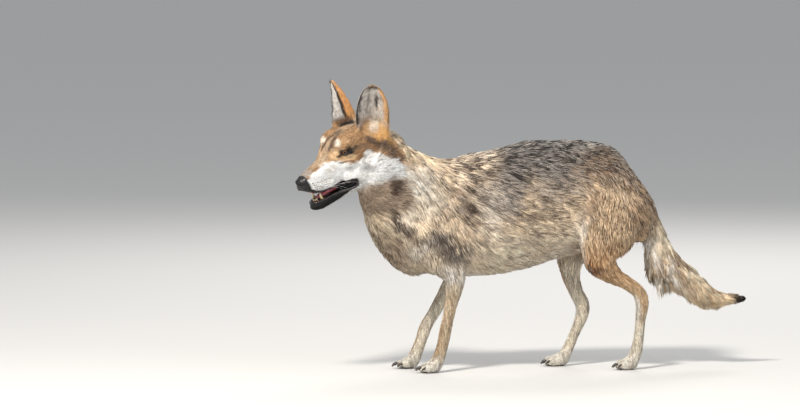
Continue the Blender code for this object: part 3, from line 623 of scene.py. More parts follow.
class Paint:
    """Colours laid over each other, for a tuft's middle and tip, and the shares of dark and pale tips."""

    def __init__(self, count, base, tip, dark):
        self.base = np.tile(tone(*base), (count, 1))
        self.tip = np.tile(tone(*tip), (count, 1))
        self.dark = np.full(count, float(dark))
        self.pale = np.full(count, 0.10)

    def lay(self, mask, base=None, tip=None, dark=None, pale=None):
        """Colours in screen values, and shares of tips, over what the mask covers."""
        mask = np.clip(mask, 0, 1)
        if base is not None:
            self.base = blend(self.base, tone(*base), mask)
        if tip is not None:
            self.tip = blend(self.tip, tone(*tip), mask)
        if dark is not None:
            self.dark += (dark - self.dark) * mask
        if pale is not None:
            self.pale += (pale - self.pale) * mask


def spot(places, middle, radii, soft=0.6):
    """1 inside an ellipse or ellipsoid and 0 outside, with a soft edge."""
    gap = np.sqrt(sum(((p - m) / r) ** 2 for p, m, r in zip(places, middle, radii)))
    return ease(gap, 1 + soft / 2, 1 - soft / 2)


def streak(places, start, end, width, soft=0.6):
    """1 along a line from start to end, of this half width."""
    start, end = np.array(start, float), np.array(end, float)
    at = np.stack(places, axis=1)
    t = np.clip((at - start) @ (end - start) / (end - start).dot(end - start), 0, 1)
    gap = np.linalg.norm(at - start - t[:, None] * (end - start), axis=1) / width
    return ease(gap, 1 + soft / 2, 1 - soft / 2)


def markings(points, normals, share):
    """The painted colours of the whole wolf at these points."""
    x, y, z = points.T
    hind = share["left_hind"] + share["right_hind"]
    fore = share["left_fore"] + share["right_fore"]
    legs = np.clip(hind + fore, 0, 1) * ease(z, 0.42, 0.30)
    coarse = mottle(points, 0.055, 3)
    fine, hairs = (strands(points, width, long, seed, BODY_DIP) * (1 - legs)
                   + strands(points, leg_width, leg_long, leg_seed, LEG_DIP) * legs
                   for (width, long, seed), (leg_width, leg_long, leg_seed) in STRANDS)
    # the markings' edges wander, so that they run out in streaks
    side_view = (x + 0.009 * coarse + 0.005 * fine, z + 0.007 * coarse + 0.007 * fine)
    level = (z - line(x, BELLY_LINE)) / (line(x, BACK_LINE) - line(x, BELLY_LINE))
    level = level + 0.05 * coarse + 0.05 * fine
    coat = Paint(len(points), (212, 188, 158), (86, 68, 56), 0.36)
    trunk_markings(coat.lay, x, level, side_view, fine)
    neck_markings(coat.lay, x, z, share["neck"] * ease(x, -0.17, -0.27), level, side_view, fine)
    thigh_markings(coat.lay, x, z, level, side_view, hind)
    leg_markings(coat.lay, z, normals, normals[:, 1] * -np.sign(y - MIDDLE), fore, hind)
    tail_markings(coat.lay, x, z, side_view, share["tail"] * ease(x, 0.33, 0.36), fine)
    # streaks of lighter and darker hair everywhere
    coat.base = blend(coat.base, (coat.base @ LIGHTNESS)[:, None], 0.05)
    coat.base *= np.clip(1 + 0.03 * coarse + 0.17 * fine + 0.20 * hairs, 0.45, 1.5)[:, None]
    coat.dark *= np.clip(1 - 0.7 * fine - 0.4 * hairs, 0.2, 2.0)
    face = face_markings(points, normals)
    on_head = ease(head_share(points) + 0.10 * fine + 0.16 * coarse, 0.25, 0.80)
    for name in ("base", "tip"):
        setattr(coat, name, blend(getattr(coat, name), getattr(face, name), on_head))
    for name in ("dark", "pale"):
        setattr(coat, name, getattr(coat, name) * (1 - on_head) + getattr(face, name) * on_head)
    return coat


def trunk_markings(lay, x, level, side_view, fine):
    """Cream below, grey and black above, with patches at the shoulder, flank and rump."""
    lay(ease(level, 0.55, 0.15), (222, 204, 178), (112, 92, 76), 0.24)
    lay(ease(level, 0.14, 0.0), (216, 204, 186), SAND, 0.08)
    # grizzled grey and black saddle, browner over the rump
    along = ease(x, -0.15, -0.03) * ease(x, 0.40, 0.26)
    lay(ease(level, 0.46, 0.86) * along, (156, 142, 128), CHARCOAL, 0.46, 0.26)
    lay(ease(level, 0.66, 0.98) * ease(x, -0.13, 0.0) * ease(x, 0.29, 0.12),
        (112, 103, 97), BLACK, 0.58, 0.34)
    lay(spot(side_view, (0.205, 0.570), (0.070, 0.038), 1.4) * 0.85, (120, 94, 70), CHARCOAL, 0.50, 0.14)
    lay(spot(side_view, (0.285, 0.545), (0.050, 0.040), 1.4) * 0.7, (156, 130, 106), BROWN, 0.42, 0.2)
    # the withers and shoulder: sandy, with dark brown streaks, and a pale ridge
    shoulder = spot(side_view, (-0.185, 0.520), (0.085, 0.085), 1.2)
    lay(shoulder, (158, 136, 114), (64, 52, 44), 0.54, 0.2)
    lay(shoulder * ease(fine, 0.0, 0.6) * 0.6, (220, 202, 176))
    lay(spot(side_view, (-0.175, 0.602), (0.065, 0.015), 1.3) * 0.75, (228, 216, 198), BROWN, 0.22, 0.3)
    # behind the shoulder: a dark band down from the saddle, then a pale one in front of it
    lay(spot(side_view, (-0.062, 0.560), (0.028, 0.060), 1.5) * 0.7, (104, 96, 92), BLACK, 0.55, 0.28)
    lay(spot(side_view, (-0.066, 0.480), (0.022, 0.040), 1.4) * 0.65, (150, 140, 134), CHARCOAL, 0.4, 0.3)
    lay(spot(side_view, (-0.112, 0.475), (0.030, 0.060), 1.5) * 0.55, (226, 216, 204), SLATE, 0.28, 0.3)
    lay(spot(side_view, (-0.085, 0.375), (0.060, 0.045), 1.3) * 0.5, (232, 216, 192), GREY, 0.10)
    # above the elbow: a dark streaked patch, with a white tuft before it and a grey one below
    lay(streak(side_view, (-0.272, 0.380), (-0.188, 0.342), 0.025, 1.4) * 0.9,
        (98, 86, 78), CHARCOAL, 0.55, 0.24)
    lay(spot(side_view, (-0.318, 0.372), (0.034, 0.030), 1.3) * ease(fine, -0.8, 0.2),
        (240, 234, 224), GREY, 0.06)
    lay(spot(side_view, (-0.205, 0.290), (0.050, 0.026), 1.1) * ease(fine, -0.9, 0.1),
        (224, 216, 206), GREY, 0.12, 0.3)


def neck_markings(lay, x, z, neck, level, side_view, fine):
    """Pale sandy sides, a paler patch behind the cheek, a painted shade over the chest's front, and a painted
    shadow line down to the chest.
    """
    streaky = 0.45 + 0.55 * ease(fine, -0.4, 0.5)
    lay(neck, (214, 196, 170), BROWN, 0.16)
    lay(neck * ease(level, 0.60, 0.90), (226, 198, 164), BROWN, 0.22)
    lay(neck * spot(side_view, (-0.345, 0.545), (0.070, 0.036), 1.3) * streaky,
        (232, 224, 212), GREY, 0.14, 0.3)
    lay(neck * spot(side_view, (-0.300, 0.480), (0.060, 0.040), 1.4) * 0.8 * streaky,
        (226, 214, 198), GREY, 0.14, 0.3)
    lay(neck * ease(level, 0.34, 0.05), (206, 184, 156), BROWN, 0.12)
    # painted shade over the front of the chest
    lay(neck * spot(side_view, (-0.385, 0.350), (0.050, 0.050), 1.3) * 0.6, (164, 138, 114), BROWN, 0.25)
    steady = (0.55 * x + 0.45 * side_view[0], 0.55 * z + 0.45 * side_view[1])
    # painted shadow of the fold between the ruff and the neck
    for start, end, width in THROAT_SHADOW:
        lay(neck * streak(steady, start, end, width, 1.2) * 0.95, (76, 58, 46), (46, 36, 30), 0.7)


def thigh_markings(lay, x, z, level, side_view, hind):
    """Tan thighs with a white front edge and a rusty hock side."""
    thigh = ease(x, 0.13, 0.20) * ease(level, 0.80, 0.45)
    lay(thigh, (204, 176, 142), (120, 90, 64), 0.26)
    lay(ease(x, 0.27, 0.33) * ease(z, 0.36, 0.43) * ease(z, 0.60, 0.52), (188, 156, 122), CHARCOAL, 0.32)
    lay(hind * ease(z, 0.40, 0.32), (200, 162, 120), RUST, 0.2)
    lay(hind * streak(side_view, (0.140, 0.425), (0.163, 0.335), 0.024, 1.0), (234, 228, 220), GREY, 0.06)
    lay(hind * spot(side_view, (0.186, 0.318), (0.026, 0.020), 0.9) * 0.7, (176, 128, 84), RUST, 0.3)
    # painted shade on the lower front edge of the thigh, at the stifle
    lay(hind * spot(side_view, (0.200, 0.300), (0.036, 0.014), 1.0) * 0.9, (104, 62, 36), BROWN, 0.5)
    # painted shade in the fold between the flank and the thigh
    lay(streak(side_view, (0.190, 0.500), (0.150, 0.425), 0.009, 1.4) * 0.6, (104, 80, 58), BROWN, 0.4)


def leg_markings(lay, z, normals, inside, fore, hind):
    """Tan in front and outside, cream below and inside, white toes."""
    leg = np.clip(hind + fore, 0, 1)
    lay(fore * ease(z, 0.27, 0.22), (212, 190, 160), SAND, 0.2)
    lay(fore * ease(z, 0.24, 0.05) * ease(normals[:, 0], -0.2, -0.8), (196, 164, 128), BROWN, 0.28)
    lay(hind * ease(z, 0.27, 0.22), (210, 176, 136), SAND, 0.2)
    lay(hind * ease(z, 0.25, 0.18) * ease(normals[:, 0], 0.0, -0.7), (236, 228, 216), dark=0.04)
    lay(hind * ease(z, 0.20, 0.10), (224, 212, 192), dark=0.06)
    lay(leg * ease(inside, 0.1, 0.7) * ease(z, 0.36, 0.28), (228, 214, 192), CREAM, 0.0)
    lay(leg * ease(z, 0.06, 0.03), (232, 222, 206), dark=0.05)
    lay(leg * ease(z, 0.010, 0.006) * ease(normals[:, 2], -0.6, -0.85), CHARCOAL, CHARCOAL, 0.0)


def tail_markings(lay, x, z, side_view, tail, fine):
    """Grizzled at the root, cream and white with brown streaks below it, and a black tip."""
    lay(tail, (222, 204, 176), SAND, 0.2)
    lay(tail * ease(z, 0.40, 0.47), (178, 152, 126), CHARCOAL, 0.42)
    lay(tail * streak(side_view, (0.352, 0.455), (0.424, 0.240), 0.019, 1.3) * ease(fine, -0.8, 0.2),
        (238, 232, 222), SAND, 0.1, 0.3)
    lay(tail * streak(side_view, (0.350, 0.370), (0.385, 0.290), 0.013, 1.3) * 0.8,
        (158, 134, 112), BROWN, 0.35)
    lay(tail * streak(side_view, (0.412, 0.345), (0.440, 0.275), 0.009, 1.3) * 0.8,
        (150, 116, 88), BROWN, 0.4)
    lay(tail * ease(x, 0.43, 0.56), (226, 200, 164), SAND, 0.22)
    lay(tail * ease(x, 0.575, 0.610), (112, 90, 74), BLACK, 0.7)
    lay(tail * ease(x, 0.612, 0.630), BLACK, BLACK, 1.0)


def face_markings(points, normals):
    """White muzzle and cheeks below a tan brow, with dark marks round the eyes, lips and nose."""
    back, out, up = head_places(points)
    aside = np.abs(out)
    grain = mottle(points, 0.0075, 9, (0.6, 1, 1))
    wide_grain = mottle(points, 0.026, 10)
    place = (back, aside, up)
    profile = (back + 0.0012 * grain, up + 0.0012 * grain)
    face = Paint(len(points), (188, 146, 102), (76, 56, 42), 0.42)
    lay = face.lay
    lay(ease(back, 0.13, 0.16) * ease(up, 0.09, 0.06) * ease(aside, 0.03, 0.045) * 0.6,
        (168, 126, 86), dark=0.50)
    # behind the brow: sandy crown, ochre patch below the ear
    lay(ease(back, 0.20, 0.25) * ease(up, 0.03, 0.07), (200, 164, 120), BROWN, 0.34)
    lay(ease(back, 0.25, 0.29) * ease(up, 0.02, 0.05), (220, 192, 152), BROWN, 0.22)
    lay(spot(profile, (0.262, 0.062), (0.030, 0.024), 1.2) * 0.85, (218, 166, 98), RUST, 0.16)
    # white muzzle, cheeks and chin
    edge = line(back, CHEEK_LINE) + 0.0022 * grain + 0.0022 * wide_grain
    lay(ease(up, edge + 0.0045, edge - 0.0045), WHITE, WHITE, 0.02, 0.0)
    # tan bridge with pale grey beside the nose
    lay(ease(aside, 0.017, 0.010) * ease(back, 0.035, 0.055) * ease(up, 0.010, 0.020),
        (200, 168, 134), BROWN, 0.24)
    lay(ease(aside, 0.020, 0.012) * ease(back, 0.060, 0.035) * ease(up, 0.002, 0.012),
        (176, 164, 152), dark=0.16)
    # pale ochre from the inner corner up to the brow, and under the eye
    lay(spot(place, (0.128, 0.030, 0.046), (0.020, 0.014, 0.014), 0.8), (226, 188, 140), RUST, 0.08)
    lay(spot(profile, (0.152, 0.0335), (0.022, 0.0065), 0.8), (214, 180, 138), BROWN, 0.14)
    lay(streak(profile, (0.128, 0.026), (0.158, 0.025), 0.0030, 1.0) * 0.8, (122, 92, 70), BROWN, 0.4)
    # white spot over the eye and ochre behind it
    ragged = (back + 0.0022 * grain, aside + 0.0022 * wide_grain, up + 0.0026 * grain)
    lay(spot(place, (0.160, 0.044, 0.074), (0.018, 0.014, 0.009), 1.0) * 0.7, (218, 180, 134), RUST, 0.18)
    lay(spot(ragged, (0.140, 0.031, 0.0750), (0.0145, 0.0100, 0.0075), 1.0) * 0.9,
        (230, 226, 214), CREAM, 0.12, 0.0)
    # painted shadow of the furrow from the forehead down to the inner side of each brow
    lay(streak(ragged, (0.120, 0.014, 0.062), (0.150, 0.012, 0.082), 0.0062, 1.4) * 0.85,
        (76, 56, 44), CHARCOAL, 0.6)
    lay(streak(ragged, (0.150, 0.011, 0.082), (0.176, 0.002, 0.096), 0.0062, 1.5) * 0.7,
        (96, 70, 52), CHARCOAL, 0.55)
    # grey smudge on the cheek
    lay(spot(profile, (0.190, -0.004), (0.016, 0.011), 1.5) * 0.75, (132, 130, 132), SLATE, 0.4)
    lay(streak(profile, (0.186, 0.012), (0.196, 0.026), 0.005, 1.0) * 0.5, (150, 136, 124), SLATE, 0.3)
    # dark streak behind the eye and down the back of the cheek
    lay(streak(profile, (0.180, 0.056), (0.226, 0.056), 0.007, 1.2) * 0.55, (128, 96, 68), BROWN, 0.5)
    lay(streak(ragged[::2], (0.220, 0.066), (0.246, 0.040), 0.0105, 1.4) * 0.9, (92, 68, 52), CHARCOAL, 0.6)
    lay(streak(ragged[::2], (0.246, 0.036), (0.262, 0.010), 0.0105, 1.5) * 0.7, (112, 90, 74), CHARCOAL, 0.5)
    lay(streak(profile, (0.205, 0.044), (0.240, 0.026), 0.0040, 1.2) * 0.6, (146, 122, 100), SLATE, 0.4)
    # black round the eye, drawn out at both of its corners
    lay(spot(profile, (0.1500, 0.0500), (0.0190, 0.0102), 0.6), BLACK, BLACK, 1.0)
    lay(streak(profile, (0.138, 0.0455), (0.125, 0.0420), 0.0030, 1.4) * 0.9, (40, 30, 26), BLACK, 0.8)
    lay(streak(profile, (0.163, 0.0530), (0.175, 0.0560), 0.0034, 1.5) * 0.85, (56, 42, 34), BLACK, 0.7)
    # painted shadow at the base of the right ear: a dark patch on the crown, more on its right side
    lay(spot((back, out, up), (0.226, -0.024, 0.106), (0.026, 0.024, 0.016), 0.6), (40, 30, 26), BLACK, 0.8)
    # brown throat behind the jaw, and painted shadow in the hollow at the back of the cheek, where the ruff
    # meets the neck
    lay(ease(up, -0.040, -0.064) * ease(back, 0.172, 0.190), (186, 164, 142), BROWN, 0.18)
    lay(spot(profile, (0.246, -0.072), (0.016, 0.026), 1.0) * 0.85, (98, 74, 58), CHARCOAL, 0.5)
    # whisker spots in rows on the upper lip
    for row, height in enumerate((-0.008, -0.014, -0.020, -0.026)):
        for step in range(6):
            at = (0.034 + 0.008 * step + 0.003 * row, height - 0.0005 * step)
            lay(spot((back, up), at, (0.0017, 0.0014), 0.5), (40, 36, 34), BLACK, 1.0)
    # bare black leather: the lips, the mouth's lining and the nose
    lay(mouth_share(points, LOWER_LIP_LINE), (26, 24, 24), BLACK, 0.9, 0.0)
    lay(leather_share(points), (11, 10, 10), BLACK, 1.0)
    for _, side in SIDES:
        ear_markings(face.lay, points, normals, side)
    face.base *= (1 + 0.05 * wide_grain + 0.08 * grain)[:, None]
    return face


def ear_markings(lay, points, normals, side):
    """Ochre ears with black edges, and pale hair inside."""
    on_ear, height = ear_share(points, side)
    root, stem, facing = ear_axes(side)
    across = np.cross(stem, facing)
    reach = np.clip(height, 0.0, 0.99)
    half = EAR_WIDTH / 2 * (0.88 + 0.40 * reach * (1 - reach)) * np.sqrt(1 - reach ** 3.4)
    medial = (points - root) @ across / half * (-1 if across.dot(HEAD[:, 1]) * side > 0 else 1)
    inner = ease(normals @ facing, 0.05, 0.35)
    outer = 1 - inner
    lay(on_ear, (206, 148, 88), RUST, 0.20)
    lay(on_ear * outer * ease(medial, -0.45, -0.80), (232, 194, 142), CREAM, 0.05)
    lay(on_ear * outer * ease(medial, 0.58, 0.72) * ease(height, 0.98, 0.88), (52, 38, 30), BLACK, 0.7)
    # pale hair along the back of the ear's inner edge, painted grey with shade
    lay(on_ear * outer * ease(medial, 0.76, 0.86) * ease(height, 0.10, 0.25), (176, 168, 160), WHITE, 0.25)
    lay(on_ear * inner, (226, 216, 206), WHITE, 0.4)
    lay(on_ear * inner * ease(medial, -0.62, -0.80), (212, 160, 104), CREAM, 0.10)
    lay(on_ear * inner * ease(medial, 0.80, 0.92), (58, 44, 36), BLACK, 0.6)
    # painted shade in the ear's hollow, partway up
    lay(on_ear * inner * spot((height, medial), (0.54, -0.34), (0.18, 0.10), 0.7), (70, 60, 56), GREY, 0.15)
    lay(on_ear * inner * spot((height, medial), (0.60, 0.36), (0.16, 0.10), 0.9) * 0.6,
        (128, 116, 110), WHITE, 0.3)
    lay(on_ear * inner * ease(height, 0.80, 0.90) * ease(height, 1.02, 0.95), (84, 58, 42), BLACK, 0.4)
    lay(on_ear * ease(height, 0.93, 0.99), (216, 180, 140), CREAM, 0.1)
    # the pale hollow goes on down over the ear's base
    away = points - root
    ragged = mottle(points, 0.008, 12) * 0.002
    hollow = ease(np.abs(away @ across) + ragged, 0.017, 0.009) * ease(normals @ facing, -0.1, 0.25)
    hollow *= ease(away @ stem + ragged, -0.010, 0.002) * ease(away @ stem, 0.060, 0.045)
    lay(hollow * ease(np.linalg.norm(away, axis=1), 0.070, 0.060) * 0.8, (206, 194, 178), WHITE, 0.3)


def mouth_share(points, lower_line=BARE_LIP_LINE):
    """1 between the two lips' edges and inside the mouth."""
    back, out, up = head_places(points)
    above, below = line(back, LIP_LINE), line(back, lower_line)
    between = ease(up, above + 0.0012, above - 0.0012) * ease(up, below - 0.0012, below + 0.0012)
    return between * ease(back, 0.173, 0.169) * ease(np.abs(out), 0.085, 0.080)


def nose_share(points):
    """1 on the bare nose leather."""
    back, _, up = head_places(points)
    edge = line(up, NOSE_EDGE)
    return ease(back, edge + 0.0010, edge - 0.0010) * ease(up, -0.050, -0.040)


def leather_share(points):
    """1 on the lips, in the mouth and on the nose."""
    return np.maximum(mouth_share(points), nose_share(points))


# ------------------------------------------------------------------ finishes


class Value:
    """A shader socket on which sums can be written."""

    def __init__(self, tree, socket):
        self.tree, self.socket = tree, socket

    def maths(self, operation, *others):
        return self.tree.node("ShaderNodeMath", {"operation": operation}, [self, *others])

    def __add__(self, other):
        return self.maths("ADD", other)

    def __mul__(self, other):
        return self.maths("MULTIPLY", other)

    def __sub__(self, other):
        return self.maths("SUBTRACT", other)

    def __rsub__(self, other):
        return (self * -1.0) + other

    __radd__, __rmul__ = __add__, __mul__

    def ramp(self, start, end):
        return self.tree.node("ShaderNodeMapRange", {"interpolation_type": "SMOOTHSTEP", "clamp": True},
                              {"Value": self, "From Min": start, "From Max": end})


class Finish:
    """A material with one Principled shader, and a way to add nodes to it."""

    def __init__(self, name, **constants):
        self.material = bpy.data.materials.new(name)
        self.material.use_nodes = True
        self.nodes = self.material.node_tree.nodes
        self.links = self.material.node_tree.links
        self.shader = next(n for n in self.nodes if n.type == "BSDF_PRINCIPLED")
        for socket, value in constants.items():
            self.shader.inputs[socket.replace("_", " ")].default_value = value

    def node(self, kind, settings=None, inputs=None, output=0):
        made = self.nodes.new(kind)
        for name, value in (settings or {}).items():
            setattr(made, name, value)
        pairs = enumerate(inputs) if isinstance(inputs, (list, tuple)) else (inputs or {}).items()
        for key, value in pairs:
            if isinstance(value, Value):
                self.links.new(value.socket, made.inputs[key])
            elif isinstance(value, (tuple, list, np.ndarray)) and made.inputs[key].type == "RGBA":
                made.inputs[key].default_value = (*map(float, value[:3]), 1)
            else:
                made.inputs[key].default_value = value
        return Value(self, made.outputs[output])

    def place(self):
        return self.node("ShaderNodeTexCoord", output="Object")

    def noise(self, scale, detail=3.0, rough=0.5):
        return self.node("ShaderNodeTexNoise", None,
                         {"Vector": self.place(), "Scale": scale, "Detail": detail, "Roughness": rough})

    def cells(self, scale):
        return self.node("ShaderNodeTexVoronoi", None,
                         {"Vector": self.place(), "Scale": scale, "Randomness": 0.9})

    def attribute(self, name, output="Color"):
        return self.node("ShaderNodeAttribute", {"attribute_name": name}, output=output)

    def grey(self, value):
        return self.node("ShaderNodeCombineColor", None, [value, value, value])

    def mix(self, factor, first, second, blend_type="MIX"):
        return self.node("ShaderNodeMix", {"data_type": "RGBA", "blend_type": blend_type},
                         {0: factor, 6: first, 7: second}, output=2)

    def shaded(self, shade):
        """The painted colour, lighter or darker by a value."""
        return self.mix(1.0, self.attribute("coat"), self.grey(shade), "MULTIPLY")

    def bump(self, height, strength, distance):
        return self.node("ShaderNodeBump", None,
                         {"Height": height, "Strength": strength, "Distance": distance})

    def set(self, **values):
        for socket, value in values.items():
            self.links.new(value.socket, self.shader.inputs[socket.replace("_", " ")])
        return self


def fur_finish():
    """Soft, hardly glossy hair in the painted colours."""
    fur = Finish("wolf_fur", Roughness=0.58, Specular_IOR_Level=0.30)
    return fur.set(Base_Color=fur.shaded(fur.noise(110.0, 2.0).ramp(0.2, 0.8) * 0.22 + 0.89)).material


def skin_finish():
    """Short hair over most of the skin, and smooth damp leather where it is bare."""
    look = Finish("wolf_skin", Specular_IOR_Level=0.35)
    hairs = look.noise(420.0, 4.0)
    bare = look.attribute("bare", "Fac")
    shade = (hairs.ramp(0.25, 0.75) * 0.5 + 0.55) * (1 - bare) + bare
    return look.set(Base_Color=look.shaded(shade), Roughness=0.8 - bare * 0.28,
                    Normal=look.bump(hairs, 0.7, 0.0012)).material


def moist_finish(name, roughness, fine_scale, depth, cells=0.0, gloss=0.25):
    """Bare flesh: mottled, faintly wrinkled or pebbled, and damp."""
    look = Finish(name, Specular_IOR_Level=0.4, Coat_Weight=gloss, Coat_Roughness=0.15)
    fine = look.noise(fine_scale, 4.0, 0.6)
    broad = look.noise(90.0, 2.0)
    height = look.cells(cells) + fine * 0.5 if cells else fine
    return look.set(Base_Color=look.shaded(broad.ramp(0.3, 0.7) * 0.35 + 0.80),
                    Roughness=broad.ramp(0.25, 0.75) * 0.14 + roughness,
                    Normal=look.bump(height, 0.7, depth)).material


def horn_finish(name, roughness, scale):
    """Teeth and claws: hard, with fine streaks and stains."""
    look = Finish(name, Specular_IOR_Level=0.5, Coat_Weight=0.2, Coat_Roughness=0.25)
    streaks = look.noise(scale, 5.0, 0.65)
    return look.set(Base_Color=look.shaded(streaks.ramp(0.25, 0.75) * 0.35 + 0.78),
                    Roughness=streaks.ramp(0.2, 0.8) * 0.2 + roughness,
                    Normal=look.bump(streaks, 0.4, 0.0004)).material


def eye_finish():
    """A dark ball under a clear wet coat, with fine fibres."""
    look = Finish("wet_eye", Specular_IOR_Level=0.05, Coat_Weight=0.6, Coat_Roughness=0.02)
    fibres = look.noise(900.0, 3.0)
    return look.set(Base_Color=look.shaded(fibres.ramp(0.3, 0.7) * 0.4 + 0.8),
                    Roughness=fibres * 0.1 + 0.3).material


# ------------------------------------------------------------------ the coat


def grow_tufts(points, faces, fields, normals, share, chosen, count, seed):
    """Roots, ways and measures of tufts on the chosen faces."""
    way, depth, length, width, full = fields
    draw = np.random.default_rng(seed)
    picked = faces[chosen]
    a, b, c = (points[picked[:, k]] for k in range(3))
    area = np.linalg.norm(np.cross(b - a, c - a), axis=1) / 2
    thick = (full / (length * width))[picked].mean(axis=1)
    total = np.cumsum(area * thick)
    draws = (np.arange(count) + draw.random(count)) / count * total[-1]
    index = np.searchsorted(total, draws).clip(0, len(picked) - 1)
    first, second = draw.random(count), draw.random(count)
    flip = first + second > 1
    first[flip], second[flip] = 1 - first[flip], 1 - second[flip]
    weights = np.stack((1 - first - second, first, second), axis=1)
    corners = picked[index]

    def at(values):
        return np.einsum("nk,nk...->n...", weights, values[corners])

    return {"root": at(points), "way": at(way), "up": unit(at(normals)), "depth": at(depth),
            "length": at(length), "width": at(width), "share": {k: at(v) for k, v in share.items()},
            "face": chosen[index], "weights": weights, "area": area.sum()}


# How tufts differ, as shares of their part's length, depth and width
LENGTHS, HEIGHTS, WIDTHS = (0.58, 1.20), (0.50, 0.98), (0.75, 1.25)
STRAYS, STRAY_LIFT = 0.06, 0.35         # the share of tufts that stand up, and by how much of the depth
TUFT_SWING, PATCH_SWING, LOCK_SWING = 0.13, 0.16, 0.16      # turns of the ways, in radians
LOCK_HEIGHTS = (0.72, 0.98)
WIDEST, WIDEST_LIFT = 0.42, 0.34          # where along a tuft it is widest, and its rise there
ROOT_DEPTH = 0.0006


def shape_tufts(t, spacing, lean, draw):
    """Each tuft is a slim closed spindle with four corners: root, two sides and tip.

    The tips of neighbours lean together into locks, and each lock has its own way, height and shade.
    """
    count = len(t["root"])
    up = t["up"]
    side = unit(np.cross(t["way"], up))
    swing = TUFT_SWING * draw.normal(size=count) + PATCH_SWING * mottle(t["root"], 0.020, 21)
    way = unit(t["way"] * np.cos(swing)[:, None] + side * np.sin(swing)[:, None])
    side = unit(np.cross(way, up))
    length = t["length"] * draw.uniform(*LENGTHS, count)
    height = t["depth"] * (draw.uniform(*HEIGHTS, count) + 0.12 * mottle(t["root"], 0.024, 22)
                           + STRAY_LIFT * (draw.random(count) < STRAYS))
    width = t["width"] * draw.uniform(*WIDTHS, count)
    tip = t["root"] + way * (0.97 * length)[:, None] + up * height[:, None]
    # locks
    centres = draw.choice(count, min(count, int(t["area"] / spacing ** 2)), replace=False)
    tree = KDTree(len(centres))
    for number, centre in enumerate(t["root"][centres]):
        tree.insert(centre, number)
    tree.balance()
    lock = np.array([tree.find(root)[1] for root in t["root"]])
    drift = LOCK_SWING * draw.normal(size=len(centres))
    lock_way = (way[centres] * np.cos(drift)[:, None] + side[centres] * np.sin(drift)[:, None])
    lock_tip = (t["root"][centres] + lock_way * (0.95 * t["length"][centres])[:, None]
                + up[centres] * (t["depth"][centres] * draw.uniform(*LOCK_HEIGHTS, len(centres)))[:, None])
    goal = lock_tip[lock] + 0.30 * (t["root"] - t["root"][centres][lock])
    pull = lean * draw.uniform(0.5, 1.3, count) * ease(np.sum(way * way[centres][lock], axis=1), 0.55, 0.85)
    tip = blend(tip, goal, np.clip(pull, 0, 0.9))
    tip += side * (0.05 * length * draw.normal(size=count))[:, None]
    middle = t["root"] + (tip - t["root"]) * WIDEST + up * (WIDEST_LIFT * height)[:, None]
    half = side * (0.5 * width)[:, None]
    t["corners"] = np.stack((t["root"] - up * ROOT_DEPTH, middle + half, middle - half, tip), axis=1)
    t["corners"][:, :, 2] = np.maximum(t["corners"][:, :, 2], FLOOR_GAP)
    t["lean"] = unit(np.stack((up, up + 0.5 * side, up - 0.5 * side, up + 0.25 * way), axis=1))
    t["shade"] = draw.uniform(0.76, 1.16, count) * draw.uniform(0.88, 1.08, len(centres))[lock]
    t["darker"] = draw.uniform(0.45, 1.6, len(centres))[lock]
    t["chance"] = draw.random(count)


TUFT_FACES = np.array(((0, 1, 2), (3, 2, 1), (0, 3, 1), (0, 2, 3)))
PATCH = 0.003           # size of a tuft's own patch on the map of the skin
TUFT_PATCH = np.array(((0.0, 0.5), (0.45, 0.0), (0.45, 1.0), (1.0, 0.5))) * PATCH


def tuft_colours(t):
    """Colours of a tuft's root, middle and tip; some tips are dark and some pale."""
    paint = markings(t["root"], t["up"], t["share"])
    dark = t["chance"] < np.clip(paint.dark * t["darker"], 0, 1) * (paint.dark < 0.95) + (paint.dark >= 0.95)
    pale = ~dark & (t["chance"] > 1 - paint.pale)
    base = paint.base * t["shade"][:, None]
    tip = np.where(dark[:, None], paint.tip, np.clip(base * 1.08, 0, 0.92))
    tip = np.where(pale[:, None], blend(tip, tone(236, 230, 220), 0.6), tip)
    middle = np.where(dark[:, None], 0.60 * base + 0.40 * paint.tip, base)
    light = base @ LIGHTNESS
    # the roots are darker: partly the underfur's own colour, partly painted shade deep in the coat, less on
    # pale hair
    root = base * (0.40 + 0.30 * ease(light, 0.30, 0.80))[:, None]
    return np.stack((root, middle, middle, tip), axis=1)


def unwrap(points, faces):
    """A map of some of the skin's faces: a place on the map for each of their corners."""
    used, local = np.unique(faces, return_inverse=True)
    patch = add_piece("patch", make_mesh("patch", points[used], local.reshape(-1, 3)))
    bpy.ops.object.select_all(action="DESELECT")
    patch.select_set(True)
    bpy.context.view_layer.objects.active = patch
    bpy.ops.object.mode_set(mode="EDIT")
    bpy.ops.mesh.select_all(action="SELECT")
    bpy.ops.uv.smart_project(angle_limit=1.15, island_margin=0.004)
    bpy.ops.object.mode_set(mode="OBJECT")
    places = np.empty(len(patch.data.loops) * 2, np.float32)
    patch.data.uv_layers.active.data.foreach_get("uv", places)
    bpy.data.objects.remove(patch, do_unlink=True)
    return places.reshape(-1, 3, 2)


def tuft_piece(name, t, points, faces, material):
    count = len(t["root"])
    all_faces = (TUFT_FACES[None] + 4 * np.arange(count)[:, None, None]).reshape(-1, 3)
    mesh = make_mesh(name, t["corners"].reshape(-1, 3), all_faces)
    paint_corners(mesh, tuft_colours(t).reshape(-1, 3))
    patch_faces, local = np.unique(t["face"], return_inverse=True)
    places = unwrap(points, faces[patch_faces])
    root_place = np.einsum("nk,nkc->nc", t["weights"], places[local]) * (1 - PATCH)
    tuft_places = root_place[:, None, None] + TUFT_PATCH[TUFT_FACES][None]
    uv = mesh.uv_layers.new(name="OFBake")
    uv.data.foreach_set("uv", tuft_places.astype(np.float32).ravel())
    mesh.normals_split_custom_set_from_vertices(t["lean"].reshape(-1, 3))
    return add_piece(name, mesh, material)


def split(order, places, most):
    """Groups of at most so many tufts, each in one stretch of the body."""
    if len(order) <= most:
        return [order]
    spans = np.ptp(places[order], axis=0)
    axis = int(np.argmax(spans))
    ranked = order[np.argsort(places[order, axis], kind="stable")]
    middle = len(ranked) // 2
    return split(ranked[:middle], places, most) + split(ranked[middle:], places, most)


